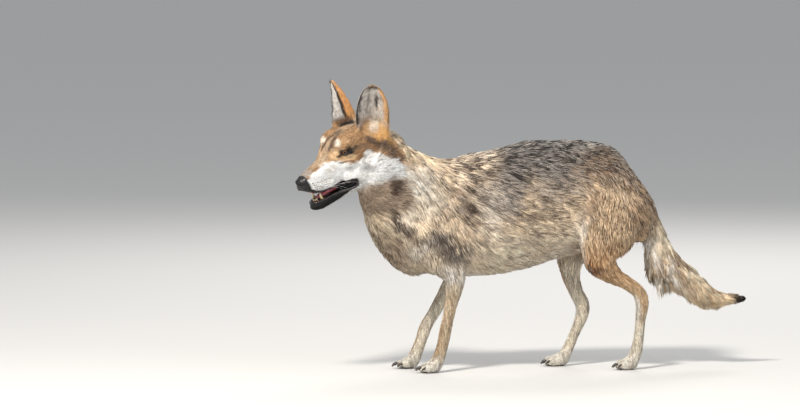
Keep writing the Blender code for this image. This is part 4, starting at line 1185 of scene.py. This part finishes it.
def grow_coat(points, normals, faces, fields, share, material):
    on_head = head_share(points)[faces].mean(axis=1)
    legs = sum(share[leg] for leg in LEGS)[faces].mean(axis=1)
    middles = points[faces].mean(axis=1)
    region = np.full(len(faces), "trunk")
    region[share["neck"][faces].mean(axis=1) > 0.5] = "neck"
    region[legs > 0.5] = "legs"
    region[(share["tail"][faces].mean(axis=1) > 0.5) & (middles[:, 0] > 0.33)] = "tail"
    region[on_head > 0.5] = "face"
    made = []
    for number, (name, (count, spacing, lean)) in enumerate(COAT.items()):
        draw = np.random.default_rng(SEED * 10 + number)
        chosen = np.nonzero(region == name)[0]
        count = count
        t = grow_tufts(points, faces, fields, normals, share, chosen, count, SEED + number)
        shape_tufts(t, spacing, lean, draw)
        order = np.nonzero(draw.random(count) < hair_share(t["root"]))[0]
        for index, group in enumerate(split(order, t["root"], PIECE_TUFTS)):
            part = {k: ({n: v[group] for n, v in value.items()} if k == "share" else value[group])
                    for k, value in t.items() if k != "area"}
            made.append(tuft_piece(f"wolf_fur_{name}_{index + 1}", part, points, faces, material))
    return made


def hair_share(points):
    """1 where hair grows, 0 on the lips, in the mouth, on the nose, over the eyes and under the paws."""
    grows = 1 - leather_share(points) * (head_share(points) > 0.5)
    for middle, radius in EYES.values():
        grows *= ease(np.linalg.norm(points - middle, axis=1), radius + 0.0015, radius + 0.0040)
    return grows * ease(points[:, 2], 0.002, 0.004)


# ------------------------------------------------------------------ eyes and lids


def eye_axes(side):
    """The eye's gaze, and the ways along its opening to the back corner and up across it."""
    gaze = unit(head_way(-0.52, side * 0.85, 0.02))
    along = head_way(0.85, side * 0.52, 0.13)
    along = unit(along - gaze * along.dot(gaze))
    across = np.cross(gaze, along)
    return gaze, along, across * (1 if across.dot(HEAD[:, 2]) > 0 else -1)


IRIS, PUPIL = math.radians(34), math.radians(16)    # reach of each from the gaze
CORNEA, EYE_SINK = 0.0008, 0.0015       # the bulge over the ball, and how far it sits behind the CAD eye
EYE_SIDES = 72
EYE_RINGS = (0.5, 4, 8, 12, 15, 16, 17, 20, 24, 28, 31, 33, 35, 38, 44, 52, 62, 75, 90, 110, 135, 160, 179.5)


def eyeball(side_name, side, material):
    """A ball about its gaze, with a bulging cornea and painted pupil, iris and dark edge."""
    middle, radius = EYES[side]
    gaze, along, across = eye_axes(side)
    middle = middle - gaze * EYE_SINK
    sides = EYE_SIDES
    angles = np.radians(EYE_RINGS)
    turns = np.linspace(0, 2 * math.pi, sides, endpoint=False)
    tilt, turn = (grid.ravel() for grid in np.meshgrid(angles, turns, indexing="ij"))
    reach = radius + CORNEA * np.clip(1 - (tilt / IRIS) ** 2, 0, 1)
    ring = np.outer(np.cos(turn), along) + np.outer(np.sin(turn), across)
    points = middle + (gaze * np.cos(tilt)[:, None] + ring * np.sin(tilt)[:, None]) * reach[:, None]
    ends = len(points)
    points = np.concatenate((points, [middle + gaze * (radius + CORNEA)], [middle - gaze * radius]))
    last = (len(angles) - 1) * sides
    faces = ring_faces(len(angles), sides)[:, ::-1].tolist()
    faces += [(ends, k, (k + 1) % sides) for k in range(sides)]
    faces += [(ends + 1, last + (k + 1) % sides, last + k) for k in range(sides)]
    fibre = 0.5 + 0.5 * np.sin(turn * 31 + 2 * np.sin(turn * 7))
    # the iris is amber brown, darkened with painted shade from the lids
    iris = blend(tone(76, 45, 21), tone(128, 82, 38), fibre * ease(tilt, IRIS, PUPIL))
    colour = blend(iris, tone(20, 13, 9), ease(tilt, IRIS * 0.88, IRIS * 0.98))
    colour = blend(colour, tone(54, 42, 37), ease(tilt, IRIS * 1.04, IRIS * 1.14))
    colour = blend(colour, tone(40, 28, 24), ease(tilt, IRIS * 1.2, IRIS * 1.8))
    colour = blend(colour, tone(5, 4, 4), ease(tilt, PUPIL * 1.04, PUPIL * 0.96))
    colour = np.concatenate((colour, np.zeros((2, 3))))
    painted_piece(f"{side_name}_eyeball", points, faces, colour, material, "eye", f"{side_name}_eye")


# The opening's half length and its heights above and below the middle, and the reach of the lids' rim
LID_LENGTH, LID_TOP, LID_FOOT, LID_REACH = 0.0116, 0.0052, 0.0046, 0.0168
# Rings of the lids: share of the way from their edge to their rim, and height over the ball
LID_RINGS = ((-0.05, -0.0008), (0.0, 0.0003), (0.03, 0.0010), (0.09, 0.0016), (0.18, 0.0019), (0.29, 0.0009),
             (0.42, 0.0015), (0.56, 0.0017), (0.70, 0.0012), (0.85, 0.0006), (1.0, 0.0))
BARE_RINGS = 4          # rings from the edge that have no hair
LID_TUFTS = 1800


def eyelids(side_name, side, tree, material, fur_look):
    """A collar over the ball, from the lids' almond edge out to below the skin, furred but for its edge."""
    middle, radius = EYES[side]
    gaze, along, across = eye_axes(side)
    middle = middle - gaze * EYE_SINK
    turns = np.linspace(0, 2 * math.pi, 64, endpoint=False)
    c, s = np.cos(turns), np.sin(turns)
    high = np.where(s > 0, LID_TOP, LID_FOOT) * np.abs(s) ** 1.15 * np.sign(s) + 0.0009 * c
    edge = np.stack((LID_LENGTH * c, high), axis=1)
    rim = LID_REACH * np.stack((1.05 * c, 0.95 * s), axis=1)
    rings = []
    for out, over in LID_RINGS:
        flat = edge + (rim - edge) * out
        gap = np.linalg.norm(flat, axis=1)
        ball = radius + over
        near = np.minimum(gap, 0.90 * ball)
        rise = np.sqrt(ball ** 2 - near ** 2) - (gap - near) * 1.3
        foot = middle + flat[:, :1] * along + flat[:, 1:] * across
        ground = rise.copy()
        for number, start in enumerate(foot + gaze * 0.05):
            hit = tree.ray_cast(Vector(start), Vector(-gaze))[0]
            if hit is not None:
                ground[number] = (np.array(hit) - middle) @ gaze
        rise = rise + (ground + 0.0004 - 0.0026 * ease(out, 0.70, 1.0) - rise) * ease(gap, 0.0105, 0.0162)
        rings.append(foot + gaze * rise[:, None])
    points, count = np.concatenate(rings), len(turns)
    faces = ring_faces(len(rings), count)
    if (normals_of(points, faces)[3 * count:6 * count] @ gaze).mean() < 0:
        faces = faces[:, ::-1]
    normals = normals_of(points, faces)
    hair = markings(points, normals, guided(points)[2]).base * 0.6
    black = tone(12, 11, 11) * (1.2 + 0.4 * mottle(points, 0.004, 41))[:, None]
    colour = blend(black, hair, np.repeat(ease(np.arange(len(rings)), 3.0, 5.0), count))
    painted_piece(f"{side_name}_eyelids", points, faces, colour, material, "nose")
    *fields, share = coat_fields(points, normals)
    furred = np.arange(2 * count * BARE_RINGS, 2 * count * (len(rings) - 2))
    tufts = grow_tufts(points, faces, fields, normals, share, furred, LID_TUFTS, SEED + 30)
    shape_tufts(tufts, 0.0035, 0.3, np.random.default_rng(SEED + 31))
    finish_piece(tuft_piece(f"wolf_fur_{side_name}_lids", tufts, points, faces, fur_look), "coat")


# ------------------------------------------------------------------ nose and mouth


def nose_pad(material):
    """Nose leather with comma-shaped nostrils and a groove down its middle."""
    points, faces = fine_copy("nose", 0.0008, 6, swell=0.0002)
    normals = unit(spread(normals_of(points, faces), edges_of(faces), 3))
    back, out, up = head_places(points)
    aside = np.abs(out)
    front = ease(back, 0.022, 0.014)
    pit = np.clip(1 - ((aside - 0.0088) / 0.0046) ** 2 - ((up + 0.0040) / 0.0048) ** 2, 0, 1) ** 0.7
    slit_line = -0.0070 - 0.20 * (aside - 0.010)
    slit = np.exp(-((up - slit_line) / 0.0019) ** 2) * ease(aside, 0.008, 0.011) * ease(aside, 0.0200, 0.0160)
    slit *= ease(back, 0.0250, 0.0190)
    groove = np.exp(-(out / 0.0011) ** 2) * ease(up, 0.006, -0.002)
    wing = np.exp(-((up - 0.0025) / 0.0030) ** 2) * ease(aside, 0.005, 0.010) * ease(aside, 0.021, 0.016)
    inwards = head_way(1, 0, 0) * 0.7 - normals * 0.5
    points = points + inwards * (front * (0.0062 * pit) + 0.0021 * slit)[:, None]
    points = points - normals * (0.0016 * groove * front)[:, None]
    points = points + normals * (0.0009 * wing * front)[:, None]
    points = spread(points, edges_of(faces), 1)
    base = blend(tone(8, 8, 9), tone(17, 16, 17), ease(up, -0.002, 0.012))
    # the nostrils' pits and slits are painted near black: painted shade inside them
    colour = blend(base, tone(4, 4, 4), np.clip(front * pit + slit, 0, 1))
    painted_piece("nose_pad", points, faces, colour, material, "nose", "nose")


# The edge of the lips on the left, from the middle of the upper to that of the lower: back, out, up, radius
LIP_EDGE = (
    (0.0215, 0.0000, -0.0262, 0.0014), (0.0225, 0.0070, -0.0268, 0.0018), (0.0260, 0.0145, -0.0275, 0.0020),
    (0.0330, 0.0205, -0.0300, 0.0021), (0.0450, 0.0250, -0.0345, 0.0022), (0.0600, 0.0268, -0.0368, 0.0022),
    (0.0800, 0.0285, -0.0370, 0.0022), (0.1000, 0.0290, -0.0370, 0.0023), (0.1180, 0.0305, -0.0365, 0.0025),
    (0.1300, 0.0360, -0.0355, 0.0027), (0.1400, 0.0455, -0.0350, 0.0029), (0.1480, 0.0520, -0.0348, 0.0031),
    (0.1555, 0.0560, -0.0356, 0.0034), (0.1615, 0.0585, -0.0385, 0.0036), (0.1640, 0.0590, -0.0435, 0.0037),
    (0.1620, 0.0570, -0.0490, 0.0036), (0.1555, 0.0520, -0.0532, 0.0035), (0.1460, 0.0450, -0.0555, 0.0034),
    (0.1360, 0.0375, -0.0565, 0.0033), (0.1240, 0.0300, -0.0575, 0.0031), (0.1080, 0.0250, -0.0590, 0.0030),
    (0.0900, 0.0228, -0.0610, 0.0030), (0.0720, 0.0212, -0.0635, 0.0030), (0.0580, 0.0190, -0.0655, 0.0030),
    (0.0480, 0.0150, -0.0670, 0.0029), (0.0410, 0.0085, -0.0680, 0.0027), (0.0395, 0.0000, -0.0685, 0.0025),
)
CORNER = 14             # the row of LIP_EDGE at the mouth's corner


def lips(material):
    """A rounded black edge all round the mouth, scalloped at the back of the lower lip."""
    half = curve(LIP_EDGE, 150)
    ring = np.concatenate((half, (half * (1, -1, 1, 1))[-2:0:-1]))
    back, up, radius = ring[:, 0], ring[:, 2], ring[:, 3].copy()
    scallop = ease(back, 0.095, 0.110) * ease(back, 0.165, 0.155) * (up < -0.052)
    radius *= 1 + 0.22 * scallop * np.sin(2 * math.pi * back / 0.0055)
    points, faces = tube(rows_in_head(ring), radius, 12, across=HEAD[:, 2], closed=True)
    colour = blend(tone(16, 14, 14), tone(38, 30, 30), 0.5 + 0.5 * mottle(points, 0.006, 31))
    painted_piece("lip_edge", points, faces, colour, material, "nose")


def cheek_lining(side_name, side, material):
    """The skin stretched between the jaws at the back of the mouth, bowed inwards."""
    edge = np.array(LIP_EDGE) * (1, side, 1, 1)
    above = curve(edge[7:CORNER + 1], 26)
    below = curve(edge[CORNER:21][::-1], 26)
    rows = []
    for v in np.linspace(0, 1, 12):
        row = above[:, :3] + (below[:, :3] - above[:, :3]) * v
        bow = math.sin(math.pi * v)
        row = row - np.array((0, side, 0)) * (0.0015 + 0.0065 * bow)
        row[:, 0] += 0.020 * bow * np.linspace(1, 0, len(row)) ** 1.5
        row[:, 2] += 0.0012 * np.sin(np.linspace(0, 9, len(row))) * bow
        rows.append(rows_in_head(row))
    grid = np.array(rows)
    count = grid.shape[1]
    faces = [(r * count + k, r * count + k + 1, (r + 1) * count + k + 1, (r + 1) * count + k)
             for r in range(len(rows) - 1) for k in range(count - 1)]
    made = add_piece(f"{side_name}_cheek_lining", make_mesh("lining", grid.reshape(-1, 3), faces), material)
    wall = made.modifiers.new("wall", "SOLIDIFY")
    wall.thickness, wall.offset = 0.0012, 0
    settle(made)
    # near black: painted shade at the back of the mouth, over its dark skin
    paint_corners(made.data, tone(9, 7, 7))
    finish_piece(made, "nose")


def gums(material):
    """The palate's edge under the upper jaw, and the ridge that carries the lower teeth."""
    palate = curve([(0.036, 0, -0.0300, 0.016), (0.050, 0, -0.0370, 0.020), (0.080, 0, -0.0385, 0.0225),
                    (0.110, 0, -0.0385, 0.0235), (0.140, 0, -0.0385, 0.030), (0.166, 0, -0.0400, 0.034)], 24)
    upper = tube(rows_in_head(palate), palate[:, 3], 20, 0.26, across=HEAD[:, 1])
    ridge = curve([(0.150, 0.0230, -0.056, 0.0034), (0.120, 0.0185, -0.059, 0.0034),
                   (0.090, 0.0165, -0.062, 0.0036), (0.066, 0.0150, -0.065, 0.0042),
                   (0.053, 0.0105, -0.0675, 0.0042), (0.0485, 0.0, -0.0685, 0.0042)], 40)
    ring = np.concatenate((ridge, (ridge * (1, -1, 1, 1))[-2::-1]))
    lower = tube(rows_in_head(ring), ring[:, 3], 10, across=HEAD[:, 2])
    points, faces = together((upper, lower))
    back, _, up = head_places(points)
    # pink at the front, darkening to near black towards the back and below: painted shade inside the mouth
    colour = blend(tone(120, 52, 48), tone(30, 20, 20), ease(back, 0.058, 0.090))
    colour = blend(colour, tone(26, 18, 18), ease(up, -0.050, -0.046) * ease(back, 0.040, 0.050))
    colour = blend(colour, tone(26, 20, 20), ease(mottle(points, 0.008, 33), 0.2, 0.7) * 0.6)
    painted_piece("gums", points, faces, colour, material, "tongue")


def tongue(material):
    """A pink tongue with a furrow down its middle, fine ripples and a darker root."""
    points, faces = fine_copy("tongue", 0.0011, 10, swell=0.0012)
    normals = normals_of(points, faces)
    back, out, _ = head_places(points)
    top = ease(normals @ HEAD[:, 2], 0.2, 0.8)
    points = points - normals * (0.0016 * np.exp(-(out / 0.0016) ** 2) * top)[:, None]
    ripple = 0.0003 * np.sin(back / 0.0016) * top
    points = points + normals * ripple[:, None]
    colour = blend(tone(214, 122, 130), tone(120, 52, 56), ease(back, 0.090, 0.130))
    colour = blend(colour, tone(150, 70, 76), ease(top, 0.6, 0.0))
    painted_piece("tongue_flesh", points, faces, colour, material, "tongue", "tongue")


def horn_tree():
    """A bowed rod that tapers along X from its root at the origin: a claw, a tooth or a whisker."""
    tree = bpy.data.node_groups.new("tapered_horn", "GeometryNodeTree")
    for kind, names in (("Float", ("Length", "Root radius", "Tip radius", "Bow", "Fullness", "Flatness")),
                        ("Int", ("Sides", "Steps")), ("Material", ("Material",))):
        for name in names:
            tree.interface.new_socket(name, in_out="INPUT", socket_type=f"NodeSocket{kind}")
    tree.interface.new_socket("Horn", in_out="OUTPUT", socket_type="NodeSocketGeometry")
    given = tree.nodes.new("NodeGroupInput").outputs

    def node(kind, inputs=None, **settings):
        made = tree.nodes.new(kind)
        for name, value in settings.items():
            setattr(made, name, value)
        for key, value in (inputs or {}).items():
            if isinstance(value, bpy.types.NodeSocket):
                tree.links.new(value, made.inputs[key])
            else:
                made.inputs[key].default_value = value
        return made.outputs[0]

    def maths(operation, first, second):
        return node("ShaderNodeMath", {0: first, 1: second}, operation=operation)

    middle = node("ShaderNodeCombineXYZ", {"X": maths("MULTIPLY", given["Length"], 0.5), "Z": given["Bow"]})
    path = node("GeometryNodeCurveQuadraticBezier",
                {"Resolution": given["Steps"], "Start": (0, 0, 0), "Middle": middle,
                 "End": node("ShaderNodeCombineXYZ", {"X": given["Length"]})})
    along = node("GeometryNodeSplineParameter")
    taper = maths("POWER", maths("SUBTRACT", 1.0, maths("POWER", along, given["Fullness"])), 0.8)
    radius = maths("ADD", maths("MULTIPLY", taper, given["Root radius"]), given["Tip radius"])
    ring = node("GeometryNodeCurvePrimitiveCircle", {"Resolution": given["Sides"], "Radius": 1.0})
    flat = node("ShaderNodeCombineXYZ", {"X": given["Flatness"], "Y": 1.0, "Z": 1.0})
    ring = node("GeometryNodeTransform", {"Geometry": ring, "Scale": flat})
    rod = node("GeometryNodeCurveToMesh",
               {"Curve": path, "Profile Curve": ring, "Scale": radius, "Fill Caps": True})
    rod = node("GeometryNodeRealizeInstances", {"Geometry": rod})
    rod = node("GeometryNodeSetMaterial", {"Geometry": rod, "Material": given["Material"]})
    tree.links.new(rod, tree.nodes.new("NodeGroupOutput").inputs[0])
    return tree


def horn(tree, name, root, tip, upwards, material, **sizes):
    """A mesh of the tree's horn from root to tip, bowed towards `upwards`; sizes are the tree's inputs."""
    made = add_piece(name, bpy.data.meshes.new(name))
    rod = made.modifiers.new("horn", "NODES")
    rod.node_group = tree
    ahead = unit(tip - root)
    sizes = {"length": float(np.linalg.norm(tip - root)), "tip_radius": 0.0002, "bow": 0.0, "fullness": 1.7,
             "flatness": 1.0, "sides": 12, "steps": 12, "material": material, **sizes}
    for socket in tree.interface.items_tree:
        if socket.in_out == "INPUT":
            rod[socket.identifier] = sizes[socket.name.lower().replace(" ", "_")]
    settle(made)
    mesh = made.data
    bpy.data.objects.remove(made, do_unlink=True)
    aside = unit(np.cross(upwards, ahead))
    axes = np.stack((ahead, aside, np.cross(ahead, aside)))
    mesh.vertices.foreach_set("co", (root + corners_of(mesh) @ axes).astype(np.float32).ravel())
    mesh.polygons.foreach_set("use_smooth", np.ones(len(mesh.polygons), bool))
    mesh.update()
    return mesh


def teeth(tree, material):
    """Lower canines, curved back to fine points, and six lower incisors."""
    jaw_up = unit(in_jaw(0.1, 0, 0.01) - in_jaw(0.1, 0, 0))
    ahead = head_way(-1, 0, 0)
    for side_name, side in SIDES:
        name = f"{side_name}_canine_tooth"
        root, tip = in_jaw(0.0620, side * 0.0145, -0.038), in_jaw(0.0575, side * 0.0182, -0.0145)
        mesh = horn(tree, name, root, tip, ahead, material,
                    root_radius=0.0042, bow=0.0050, sides=16, flatness=0.85)
        height = (corners_of(mesh) - root) @ jaw_up
        paint_corners(mesh, blend(tone(206, 186, 132), tone(238, 228, 196), ease(height, 0.008, 0.020)))
        finish_piece(add_piece(name, mesh), "tooth", f"{side_name}_lower_canine")
    parts = []
    for number in (-2.5, -1.5, -0.5, 0.5, 1.5, 2.5):
        root = in_jaw(0.050 - 0.007 * math.cos(0.5 * number), 0.0034 * number, -0.040)
        tip = root + jaw_up * (0.0108 + 0.0009 * abs(number)) + ahead * 0.0010
        mesh = horn(tree, "incisor", root, tip, ahead, material,
                    root_radius=0.0016, fullness=7.0, flatness=0.8)
        parts.append((corners_of(mesh), triangles_of(mesh)))
    painted_piece("incisor_teeth", *together(parts), tone(226, 212, 172), material, "tooth", "lower_incisors")


def claws(tree, material):
    """Four claws on each paw, dark at the root and paler towards the tip."""
    upwards = np.array((0, 0, 1.0))
    for leg in LEGS:
        for number in (1, 2, 3, 4):
            node, name = f"{leg}_claw_{number}", f"{leg}_horn_claw_{number}"
            root, tip = claw_ends(node)
            ahead = unit((tip - root) * (1, 1, 0))
            mesh = horn(tree, name, root - ahead * 0.002, tip, upwards, material,
                        root_radius=0.0034, bow=0.0044, flatness=0.75)
            run = (corners_of(mesh) - root) @ ahead
            paint_corners(mesh, blend(tone(46, 38, 34), tone(104, 90, 78), ease(run, 0.006, 0.016)))
            finish_piece(add_piece(name, mesh), "claw", node)


def whiskers(tree, skin_tree, material):
    """Stiff hairs on the upper lips and over the eyes."""
    draw = np.random.default_rng(SEED + 50)
    parts, colours = [], []
    for _, side in SIDES:
        roots = [(0.034 + 0.009 * step + 0.003 * row, -0.008 - 0.006 * row, 0.030 + 0.006 * step, 1.0)
                 for row in range(4) for step in range(5)]
        roots += [(0.138 + 0.006 * k, 0.074 - 0.002 * k, 0.028, 0.5) for k in range(3)]
        for back, up, long, droop in roots:
            start = in_head(back, side * 0.14, up)
            hit, normal = skin_tree.ray_cast(Vector(start), Vector(head_way(0, -side, 0)))[:2]
            root = np.array(hit) - np.array(normal) * 0.001
            backward, outward, lift = 0.1 * draw.normal(size=3) + (0.80, 0.50, 0)
            way = unit(head_way(backward, side * outward, lift) + np.array(normal) * 0.25)
            tip = root + way * long + head_way(0.06, 0, -0.28) * long * droop
            mesh = horn(tree, "whisker", root, tip, HEAD[:, 2], material, root_radius=0.00024,
                        tip_radius=0.00004, bow=0.14 * long * droop, fullness=1.2, sides=4, steps=8)
            parts.append((corners_of(mesh), triangles_of(mesh)))
            dark = draw.random() < (0.65 if droop == 1.0 else 1.0)
            colours.append(np.tile(tone(24, 20, 18) if dark else tone(232, 228, 220), (len(parts[-1][0]), 1)))
    painted_piece("whiskers", *together(parts), np.concatenate(colours), material, "coat")


# ------------------------------------------------------------------ stage


# Lamps: place, size, power, colour
LAMPS = {"key": ((-2.4, -3.4, 4.6), 0.9, 420, (1.0, 0.96, 0.90)),
         "fill": ((3.6, -4.2, 2.4), 3.0, 60, (0.90, 0.95, 1.0)),
         "rim": ((1.6, 4.2, 3.6), 2.2, 120, (1.0, 0.98, 0.95))}
LAMP_AIM = Vector((0, 0, 0.4))
FLOOR_REACH = 60


def stage():
    """A wide pale floor, a dim sky and three lamps."""
    floor_look = Finish("pale_floor", Roughness=0.9, Specular_IOR_Level=0.1)
    floor_look.shader.inputs["Base Color"].default_value = (0.62, 0.61, 0.59, 1)
    grid = np.array([(x, y, 0) for x, y in ((-1, -1), (1, -1), (1, 1), (-1, 1))], float) * FLOOR_REACH
    floor = add_piece("floor", make_mesh("floor", grid, [(0, 1, 2, 3)], False), floor_look.material)
    world = bpy.data.worlds.new("studio")
    bpy.context.scene.world = world
    world.use_nodes = True
    sky = world.node_tree.nodes["Background"]
    sky.inputs["Color"].default_value = (0.92, 0.95, 1.0, 1)
    sky.inputs["Strength"].default_value = 0.56
    for name, (at, size, power, colour) in LAMPS.items():
        light = bpy.data.lights.new(name, "AREA")
        light.size, light.energy, light.color = size, power, colour
        lamp = bpy.data.objects.new(name, light)
        bpy.context.scene.collection.objects.link(lamp)
        lamp.location = at
        lamp.rotation_euler = (LAMP_AIM - Vector(at)).to_track_quat("-Z", "Y").to_euler()
    bpy.context.scene.view_settings.view_transform = "Standard"


AZIMUTH, ELEVATION = math.radians(-10), math.radians(4)
AIM, AIM_SHIFT = (-0.0200, 0.0272, 0), (-0.308, 0.4452)     # a place under the wolf, then right and up
HALF_SEEN = 1.12        # half of the width in view at the aim
LENS, SENSOR = 300, 36  # in millimetres


def camera():
    """A long lens on the wolf's left, aimed at its shoulder."""
    ahead = Vector((-math.sin(AZIMUTH) * math.cos(ELEVATION), math.cos(AZIMUTH) * math.cos(ELEVATION),
                    -math.sin(ELEVATION)))
    right = Vector((math.cos(AZIMUTH), math.sin(AZIMUTH), 0))
    upwards = right.cross(ahead)
    aim = Vector(AIM) + right * AIM_SHIFT[0] + upwards * AIM_SHIFT[1]
    seen = bpy.data.cameras.new("camera")
    seen.lens, seen.sensor_width, seen.clip_end = LENS, SENSOR, 200
    made = bpy.data.objects.new("camera", seen)
    bpy.context.scene.collection.objects.link(made)
    made.location = aim - ahead * (HALF_SEEN / (SENSOR / 2 / LENS))
    made.rotation_euler = ahead.to_track_quat("-Z", "Y").to_euler()
    bpy.context.scene.camera = made


# ------------------------------------------------------------------ putting it together


stage()
camera()
skin = build_skin()
points, faces = corners_of(skin.data), triangles_of(skin.data)
edges = edges_of(faces)
normals = unit(spread(normals_of(points, faces), edges, 4))
way, depth, length, width, full, share = coat_fields(points, normals)
depth = spread(depth, edges, 6)[:, 0]
# under long hair the head is rounded, so that the coat's own lie makes its form
points = spread(points, edges, 14, hold=np.clip((depth - 0.002) / 0.004, 0, 1) * head_share(points))
# and the neck flows into the head, the chest into the forelegs and the rump into the tail
back, out, up = head_places(points)
on_ear = np.maximum(ear_share(points, 1)[0], ear_share(points, -1)[0])
seams = ease(back, 0.205, 0.245) * ease(back, 0.400, 0.350) * (1 - ease(on_ear, 0.0, 0.3))
chest = spot(points.T, (-0.300, MIDDLE, 0.285), (0.060, 0.120, 0.050), 0.8)
rump = spot(points.T, (0.335, MIDDLE, 0.500), (0.075, 0.200, 0.100), 0.8)
points = spread(points, edges, SEAM_ROUNDS, hold=np.maximum(seams, np.maximum(chest, rump)))
points = points - normals * (depth + toe_grooves(points, normals))[:, None]
points = spread(points, edges, 3, hold=1 - head_share(points))
normals = unit(spread(normals_of(points, faces), edges, 3))
way = flatten(spread(way, edges, 8), normals)
skin.data.vertices.foreach_set("co", points.astype(np.float32).ravel())
skin.data.update()
paint = markings(points, normals, share)
bare = leather_share(points) * (head_share(points) > 0.5)
paint_corners(skin.data, blend(paint.base * 0.6, paint.base, bare), bare)
skin.data.materials.clear()
skin.data.materials.append(skin_finish())
skin.data.polygons.foreach_set("use_smooth", np.ones(len(skin.data.polygons), bool))
finish_piece(skin, "coat", *FLESH)

fur_look = fur_finish()
for piece in grow_coat(points, normals, faces, (way, depth, length, width, full), share, fur_look):
    finish_piece(piece, "coat")

skin_tree = BVHTree.FromPolygons(points.tolist(), faces.tolist())
eye_look = eye_finish()
lid_look = moist_finish("black_eyelid", 0.34, 700.0, 0.0004)
lip_look = moist_finish("black_lip", 0.22, 500.0, 0.0005)
lining_look = moist_finish("mouth_lining", 0.5, 500.0, 0.0005, gloss=0.05)
flesh_look = moist_finish("pink_flesh", 0.24, 900.0, 0.0004)
tooth_look = horn_finish("tooth", 0.22, 260.0)
for name, side in SIDES:
    eyeball(name, side, eye_look)
    eyelids(name, side, skin_tree, lid_look, fur_look)
    cheek_lining(name, side, lining_look)
nose_pad(moist_finish("nose_leather", 0.42, 900.0, 0.0006, cells=620.0, gloss=0.12))
lips(lip_look)
gums(flesh_look)
tongue(flesh_look)
horns = horn_tree()
teeth(horns, tooth_look)
claws(horns, horn_finish("claw", 0.35, 320.0))
whiskers(horns, skin_tree, horn_finish("whisker", 0.35, 500.0))
